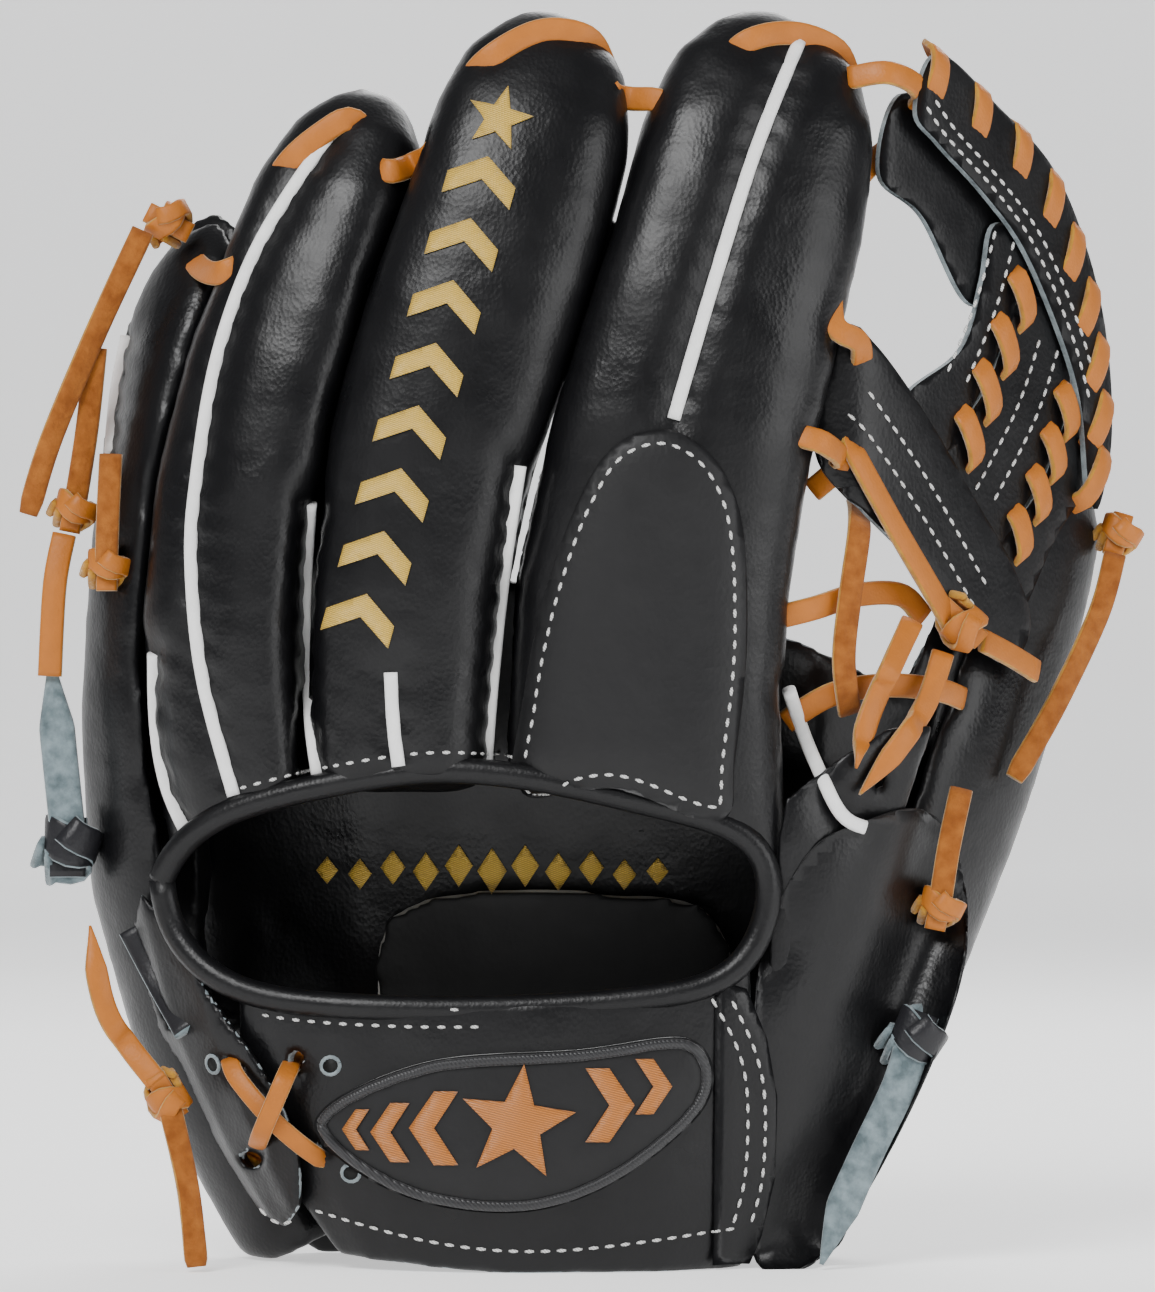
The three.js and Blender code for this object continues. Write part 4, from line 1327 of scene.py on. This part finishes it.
@dataclass
class Web:
    """The web between index finger and thumb: three leather bars, three strips and the laces wound through them.

    Attributes:
        edge: The top bar's outer edge as x and z, in millimetres, from the index finger to the thumb.
        inner: Its inner edge, from the thumb back to the index finger.
    """

    edge: Sequence[Pair] = (
        (78, 268), (92, 257), (105, 244), (113.5, 225), (118, 205), (119, 184), (116, 168.5),
    )
    inner: Sequence[Pair] = (
        (113.5, 171), (111.5, 191), (107, 206), (98, 225.5), (88.5, 237.5), (78, 248), (73, 255),
    )

    @staticmethod
    def surface(x: float, z: float) -> tuple[Vector, Vector]:
        """The middle of the web.

        Args:
            x: Where, in metres.
            z: Where, in metres.
        Returns:
            The point and the normal towards the back.
        """
        y = (web_depth(x / MM) - BEHIND) * MM
        slope = web_depth(x / MM + 0.5) - web_depth(x / MM - 0.5)
        return Vector((x, y, z)), Vector((slope, -1, 0)).normalized()

    def piece(self, name: str, outline: Sequence[Pair], lift: float) -> None:
        """Make one leather piece of the web.

        Args:
            name: The CAD node that it stands for.
            outline: Its corners as x and z, in millimetres.
            lift: How far its middle lies off the web's middle, towards the back, in millimetres.
        """
        bm = bmesh.new()
        panel(bm, outline, self.surface, 2.2, 2.6, lift - 1.1)
        finished(name, bm, [SHELL, EDGE], Part.FOLD, [name])

    def coil(self, name: str, line: Sequence[Pair], turns: int, across: Pair, deep: float) -> None:
        """Wind a lace round a line on the web.

        Args:
            name: The CAD node that it stands for.
            line: The line as x and z, in millimetres.
            turns: How many times it goes round.
            across: How far each turn reaches to one side, as x and z.
            deep: How far it goes behind and in front of the web.
        """
        steps = 16
        centres = curve_through(metres((x, 0, z) for x, z in line), 0.1 * MM)
        count = steps * turns
        route, outs = [], []
        for i in range(count + 1):
            centre = centres[round((len(centres) - 1) * i / count)]
            a = 2 * math.pi * i / steps
            hit, normal = self.surface(centre.x, centre.z)
            side = Vector((-across[0], 0, -across[1]))
            side = (side - normal * side.dot(normal)) * MM
            outs.append((side.normalized() * math.cos(a) * 0.35 + normal * math.sin(a)).normalized())
            squared = math.copysign(abs(math.sin(a)) ** 0.5, math.sin(a))
            route.append(hit + side * math.cos(a) + normal * deep * squared * MM)
        bm = bmesh.new()
        strip(bm, route, lambda i: outs[i], 5.2, 1.9)
        finished(name, bm, LACE_FINISHES, Part.FOLD, [name])

    def stitches(self) -> None:
        """The double rows along the two bars."""
        bm = bmesh.new()
        rows = [
            *(([(x + 0.75 * s, z + 0.62 * s) for x, z in reversed(self.inner[1:])], 3.7) for s in (2.2, 4.8)),
            ([(62, 193), (76, 172), (88.7, 150)], 3.7),
            ([(59, 188), (73, 167), (86, 145)], 3.7),
        ]
        for row, lift in rows:
            line = []
            for p in curve_through(metres((x, 0, z) for x, z in row), 1.5 * MM):
                hit, normal = self.surface(p.x, p.z)
                line.append(hit + normal * (lift + 0.1) * MM)
            stitch_run(bm, line, lambda p: self.surface(p.x, p.z)[1])
        for row in ([(95, 229), (90.5, 213), (83.5, 196)], [(105.5, 205), (100, 189), (90, 170)]):
            for shift in (-2.2, 2.2):
                line = []
                for p in curve_through(metres((x + shift, 0, z - shift * 0.5) for x, z in row), 1.5 * MM):
                    hit, normal = self.surface(p.x, p.z)
                    line.append(hit + normal * 1.25 * MM)
                stitch_run(bm, line, lambda p: self.surface(p.x, p.z)[1])
        finished("web_stitches", bm, [STITCH], Part.FOLD)

    def build(self) -> None:
        """Make the web."""
        self.piece("web_top_bar", [*self.edge, *self.inner], 2.55)
        self.piece(
            "web_lower_bar",
            [
                (58, 206), (64, 203), (75, 188), (86, 170), (95, 155), (99.5, 142), (95, 133), (88, 137),
                (76, 152), (61, 167), (52, 181),
            ],
            2.55,
        )
        self.piece(
            "web_inner_bar",
            [
                (73, 259), (88, 252), (104, 236), (110, 216), (112, 204), (107, 200), (97, 212), (88, 214),
                (78, 232), (68, 241),
            ],
            -2.55,
        )
        strips = (
            [(93, 231), (90, 217.5), (85, 202.5), (72, 191), (78, 176), (90.6, 195.5), (98.3, 214.5), (102, 228)],
            [(99, 214.5), (91.4, 195.2), (79, 174), (88, 153), (102.5, 172.5), (109.8, 189.4), (111, 210)],
            [(110.6, 189), (103.3, 171.7), (89, 151), (95, 137), (107.5, 161), (114, 172), (114.5, 186)],
        )
        for k, outline in enumerate(strips):
            self.piece(f"web_strip_{k + 1}", outline, 0)
        self.coil("web_spiral_lace", [(x - 3.0, z - 2.2) for x, z in self.edge], 9, (-4.2, -3.6), 4.3)
        self.coil("web_row_a_lace", [(99.4, 217), (91.3, 196), (83, 175)], 4, (4.2, -3.4), 3.2)
        self.coil("web_row_b_lace", [(110, 192), (103, 172), (94.5, 155)], 4, (3.6, -3.2), 3.0)
        self.stitches()


# ---- laces ------------------------------------------------------------------------------------------------------


def on_web(points: Sequence[Triple]) -> list[Triple]:
    """Points of x, z and depth from the web's middle as x, y and z."""
    return [(x, web_depth(x) + deep, z) for x, z, deep in points]


@dataclass
class Lace:
    """A rawhide lace that follows a route.

    Attributes:
        name: The piece's name, which is its CAD node's.
        route: Points as x, y and z, in millimetres.
        part: What it moves with.
        width: Its width, in millimetres.
        thick: Its thickness, in millimetres.
        look: The way its flat side faces.
        face: Whether the grain or the suede shows.
        heel: Whether it is black heel lace.
        free: Whether it hangs free.
        twist: How far it turns about the upright on its way, in degrees.
        point: The share of a free end's length that narrows.
    """

    name: str
    route: Sequence[Triple]
    part: Part = Part.HAND
    width: float = 5.4
    thick: float = 2.1
    look: Triple = (0, -1, 0)
    face: Face = Face.GRAIN
    heel: bool = False
    free: bool = False
    twist: float = 0.0
    point: float = 0.25

    def draw(self, bm: bmesh.types.BMesh) -> list[Vector]:
        """Draw the lace.

        Args:
            bm: Where it is made.
        Returns:
            Its middle line, in metres.
        """
        line = curve_through(metres(self.route), LACE_STEP * MM)
        count = max(1, len(line) - 1)

        def facing(i: int) -> Vector:
            """The way the flat side looks at a step."""
            turn = math.radians(self.twist) * math.sin(math.pi * i / count)
            return Matrix.Rotation(turn, 3, "Z") @ Vector(self.look)

        suede = self.face is Face.SUEDE
        strip(bm, line, facing, self.width, self.thick, taper=self.point if self.free else 0, suede_out=suede)
        return line

    def build(self) -> bpy.types.Object:
        """Returns:
            The finished piece.
        """
        bm = bmesh.new()
        line = self.draw(bm)
        finishes = HEEL_FINISHES if self.heel else LACE_FINISHES
        piece = finished(self.name, bm, finishes, self.part, [self.name])
        return piece


@dataclass
class Knot:
    """An overhand knot in a lace, with a short end that lies against the leather.

    Attributes:
        name: Its CAD node.
        centre: Its middle, in millimetres.
        axis: The way the lace runs through it.
        part: What it moves with.
        radius: Half its thickness, in millimetres.
        end: The route of its short end, in millimetres.
        heel: Whether it is black heel lace.
        width: The lace's width, in millimetres.
    """

    name: str
    centre: Triple
    axis: Triple
    part: Part = Part.HAND
    radius: float = 3.4
    end: Sequence[Triple] = ()
    heel: bool = False
    width: float = 5.0

    def build(self) -> None:
        """Make the knot."""
        bm = bmesh.new()
        middle = metres([self.centre])[0]
        along = Vector(self.axis).normalized()
        tilted = (along + Vector((0.5, 0.1, 0.35))).normalized()
        knot(bm, middle, along, self.width, 1.9, self.radius * 0.82, 1.3)
        knot(bm, middle, tilted, self.width * 0.8, 1.8, self.radius * 1.12, 0.8)
        core = [middle - along * self.radius * 1.5 * MM, middle, middle + along * self.radius * 1.5 * MM]
        strip(bm, curve_through(core, 1.5 * MM), Vector((0, -1, 0.1)), self.width * 0.95, 2.4)
        if self.end:
            width = HEEL_LACE_WIDTH if self.heel else LOOSE_LACE_WIDTH
            end = curve_through(metres(self.end), LACE_STEP * MM)
            strip(bm, end, Vector((0, -1, 0)), width, 2.1, taper=0.4 if self.heel else 0, suede_out=True)
        finishes = HEEL_FINISHES if self.heel else LACE_FINISHES
        finished(self.name, bm, finishes, self.part, [self.name])


@dataclass
class Lacing:
    """Every lace, knot and loose end that isn't wound round the web."""

    skin: Skin

    def on_back(self, points: Sequence[Triple]) -> list[Triple]:
        """Points of x, z and depth from the back as x, y and z."""
        return [(x, self.skin.at(x * MM, z * MM)[0].y / MM + BEHIND + deep, z) for x, z, deep in points]

    def clear(self, route: Sequence[Triple]) -> list[Triple]:
        """Bend a route outwards, by a few millimetres at most, where it would run into the leather.

        Args:
            route: Points as x, y and z, in millimetres. The first one stays where it is.
        Returns:
            More points on the bent route.
        """
        line = [p / MM for p in curve_through(metres(route), 3 * MM)]
        most = [min(6.0, 0.6 * i) for i in range(len(line))]
        skin = [self.skin.at(p.x * MM, p.z * MM)[0].y / MM - 2.0 for p in line]
        return [(p.x, max(min(p.y, s), p.y - m) + BEHIND, p.z) for p, s, m in zip(line, skin, most)]

    def tips(self) -> None:
        """The lace through the fingertips, and the loop on the strap."""
        tip_route = self.on_back(
            [
                (-88, 228, 6), (-84, 221, -1), (-78, 219, -1.5), (-71, 224, 6), (-67, 238, 7), (-63, 244, -0.8),
                (-56, 250, -1.4), (-50, 253, -0.8), (-46, 249, 7), (-45, 243, 5), (-41, 241, -1.5),
                (-36, 243, -1.5), (-31, 246, 5), (-25, 259, 7), (-19, 266, -0.8), (-8, 272, -1.2),
                (2, 271, -0.8), (6, 265, 7), (7, 259, 3), (11, 257.5, -1.6), (17, 257, -1.6), (22, 256, 6),
                (31, 264, 7), (38, 270, -0.8), (48, 272, -1.2), (57, 269, -0.8), (60, 264, 7),
            ]
        )
        Lace("fingertip_lace", tip_route).build()
        strap_route = self.on_back(
            [
                (-76, 46, -1), (-74, 42, -3), (-66, 33, -3.4), (-58, 26, -2), (-55, 25, 2), (-56, 34, 6.4),
                (-59, 43, 6), (-61.5, 47, 1), (-63, 44, -4), (-66, 37, -5.6), (-69, 30, -5.2), (-71, 25, -3),
                (-72, 23, 1),
            ]
        )
        Lace("strap_lace", strap_route, width=4.2, thick=2.0).build()
        heel_route = self.on_back([(-99, 74, -0.8), (-93, 63, -0.8), (-86, 52, -0.8)])
        Lace("heel_lace_little", heel_route, width=5.4, heel=True).build()

    def ties(self) -> None:
        """The laces that tie the web to the index finger and the thumb."""
        attach = [
            (60, 24, 262), (69, 22, 263), (76, 29, 259), (72, 36, 250), (62, 27, 240), (57, 20, 226),
            (56, 12, 208), (62, 14, 203), (61, 22, 196), (52, 18, 192), (47, 9, 184), (54, 8, 181), (58, 16, 177),
            (52, 22, 171),
        ]
        Lace("web_attach_lace", attach, look=(0.25, -1, 0.3)).build()
        fold, side = Part.FOLD, (0.8, -1, 0.2)
        tie = on_web([(60, 182, 3), (61, 179, -4.5), (70, 163, -6), (80, 146.5, -6.5), (83, 141, -5)])
        Lace("web_tie_lace", tie, fold, look=side).build()
        Lace("web_tie_tail", on_web([(90, 138, -8), (97, 134.5, -7), (103, 131, -6)]), fold, look=side).build()
        upper = [(44, 12, 143), (52, 14, 145), (62, 24, 148), (72, 33, 148), (77, 38, 143)]
        lower = [(46, 22, 120), (56, 20, 126), (68, 26, 128), (80, 34, 127), (86, 44, 125)]
        cross = [(62, 30, 168), (62, 18, 162), (60, 16, 148), (58.5, 14, 134), (60, 20, 122)]
        Lace("crotch_lace_upper", upper, fold, look=(0.6, -1, 0)).build()
        Lace("crotch_lace_lower", lower, fold, look=(0.5, -1, 0)).build()
        Lace("crotch_lace_cross", cross, fold, look=(0.3, -1, 0), face=Face.SUEDE).build()
        Knot("web_knot", (85, web_depth(85) - 7.5, 142), (1, 0.3, -0.9), fold, 4.2).build()

    def knots(self) -> None:
        """The knots and the laces' ends that lie against the leather."""
        Knot("little_tip_knot", (-91, 40, 231), (-1, 0, 0.5), radius=3.6).build()
        Knot("thumb_tip_knot", (123, 74, 162), (0.3, 0.2, 1), Part.THUMB, 3.3).build()
        side = [(-104, 26, 154), (-103.5, 24, 166), (-103, 26, 179)]
        Knot("little_side_knot", (-104, 28, 154), (0, 0.1, 1), end=side).build()
        strand = [(-112, 37, 166), (-109, 37, 185), (-107, 36, 203)]
        Knot("little_strand_knot", (-112, 38, 167), (0.2, 0, 1), end=strand).build()
        Knot("wrist_knot", (-90, 14, 38), (0.6, 0.2, -1), radius=3.6).build()
        thumb = [(80, 24, 79), (82, 24, 92), (85, 28, 105)]
        Knot("thumb_side_knot", (80, 26, 79), (0.2, 0, 1), Part.THUMB, end=thumb).build()
        Knot(
            "heel_knot_little", (-113, 34, 92), (0, 0.1, 1), radius=4.4, heel=True, width=9,
            end=[(-113, 32, 96), (-115, 32, 115), (-117, 36, 134)],
        ).build()
        Knot("heel_knot_thumb", (74, 22, 50), (0.4, 0.1, 1), Part.THUMB, 4.2, heel=True, width=8).build()

    def tails(self) -> None:
        """The ends that hang free."""
        tail = [(-114, 36, 161.5), (-116, 34, 150), (-117, 33, 130)]
        Lace("little_strand_tail", tail).build()
        hand, thumb = Part.HAND, Part.THUMB
        square = (
            ("little_tip_tail", hand, [(-96.5, 36, 229), (-107, 34, 206), (-117, 34, 182), (-122, 36, 166)]),
            ("thumb_tip_tail", thumb, [(122, 69, 157.5), (118, 65, 144), (108, 56, 124), (98, 50, 107)]),
            ("wrist_tail_down", hand, [(-89, 12, 35), (-85, 8, 18), (-83, 6, 1.2)]),
        )
        pointed = (
            ("wrist_tail_up", hand, [(-92, 13, 41), (-103, 18, 56), (-107, 24, 75)]),
            ("web_tail_left", hand, [(74, 26, 142), (69, 20, 132), (64, 15, 121), (61, 12, 110)]),
            ("web_tail_right", hand, [(81, 30, 135), (77, 24, 124), (70, 16, 114), (62, 9, 104.5)]),
        )
        for name, part, route in square:
            end = Lace(name, route, part, LOOSE_LACE_WIDTH, face=Face.SUEDE, free=True, twist=25, point=0.05)
            end.build()
        for name, part, route in pointed:
            Lace(name, self.clear(route), part, LOOSE_LACE_WIDTH, free=True, twist=25).build()
        heel = [(74, 21, 49.5), (71, 20, 40), (64, 16, 26), (58, 13, 13), (53.5, 12, 1.2)]
        last = Lace("heel_tail_thumb", heel, thumb, HEEL_LACE_WIDTH, heel=True, face=Face.SUEDE, free=True, twist=20)
        last.build()

    def build(self) -> None:
        """Make every lace."""
        self.tails()
        self.tips()
        self.ties()
        self.knots()


# ---- studio -----------------------------------------------------------------------------------------------------


@dataclass
class Studio:
    """The pale floor, the soft lights and the camera.

    Attributes:
        eye: Where the camera is, in metres.
        view: The height of what it sees at the back of the glove, in metres.
        far: Where the floor starts to curve up, in metres.
    """

    eye: Triple = (0.0001, -1.6586, 0.1367)
    view: float = 0.2809
    far: float = 3.0

    def camera(self) -> None:
        """Put the camera level with the middle of the glove, behind its back."""
        data = bpy.data.cameras.new("camera")
        data.sensor_fit = "VERTICAL"
        data.sensor_height = 36
        data.lens = 36 * (-self.eye[1] - BEHIND * MM) / self.view
        data.clip_end = 20
        camera = bpy.data.objects.new("camera", data)
        camera.location = self.eye
        camera.rotation_euler = (math.pi / 2, 0, 0)
        bpy.context.scene.collection.objects.link(camera)
        bpy.context.scene.camera = camera

    def lights(self) -> None:
        """Two big soft lamps, a low fill and a light grey surround."""
        for name, place, size, power in (
            ("key", (-0.55, -1.2, 1.25), 0.8, 30.0),
            ("fill", (1.3, -0.9, 0.5), 0.9, 11.0),
            ("rim", (0.3, 0.9, 1.0), 0.8, 12.0),
        ):
            data = bpy.data.lights.new(name, "AREA")
            data.size = size
            data.energy = power
            lamp = bpy.data.objects.new(name, data)
            lamp.location = place
            aim = Vector((0, 0.03, 0.13)) - Vector(place)
            lamp.rotation_euler = aim.to_track_quat("-Z", "Y").to_euler()
            bpy.context.scene.collection.objects.link(lamp)
        world = bpy.data.worlds.new("studio")
        world.use_nodes = True
        world.node_tree.nodes["Background"].inputs["Color"].default_value = (0.95, 0.96, 1, 1)
        world.node_tree.nodes["Background"].inputs["Strength"].default_value = 0.24
        bpy.context.scene.world = world

    def floor(self) -> None:
        """A pale floor that curves up far behind."""
        bm = bmesh.new()
        bmesh.ops.create_grid(bm, x_segments=2, y_segments=60, size=7.0)
        for vert in bm.verts:
            bend = min(max(0.0, vert.co.y - self.far), math.pi / 2)
            if bend > 0:
                rise = max(0.0, vert.co.y - self.far - math.pi / 2)
                vert.co = Vector((vert.co.x, self.far + math.sin(bend), 1 - math.cos(bend) + rise))
        mesh = bpy.data.meshes.new("floor")
        for face in bm.faces:
            face.smooth = True
        bm.to_mesh(mesh)
        bm.free()
        paper = Suede("floor_paper", (0.86, 0.86, 0.86), (0.9, 0.9, 0.9), 6.0)
        material, shader = paper.start(0.9)
        shader.inputs["Emission Color"].default_value = (1, 1, 1, 1)
        shader.inputs["Emission Strength"].default_value = 0.75
        mesh.materials.append(material)
        tone = Finish.ramp(material, Finish.noise(material, 3.0), 0, 1)
        material.node_tree.links.new(
            Finish.blend(material, tone, paper.colour, paper.second), shader.inputs["Base Color"]
        )
        ground = bpy.data.objects.new("floor", mesh)
        bpy.context.scene.collection.objects.link(ground)

    def build(self) -> None:
        """Set the studio up."""
        self.camera()
        self.lights()
        self.floor()


def main() -> None:
    """Build the glove and its studio."""
    logging.basicConfig(level=logging.INFO, format="%(name)s: %(message)s")
    Studio().build()
    skin = ThumbSide(Body().build()).build()
    Lacing(skin).build()
    Seams(skin).build()
    PocketFace(skin).build()
    IndexPad(skin).build()
    WristStrap(skin).build()
    WristOpening(skin).build()
    FingerEmblem(skin).build()
    Web().build()


if __name__ == "__main__":
    main()
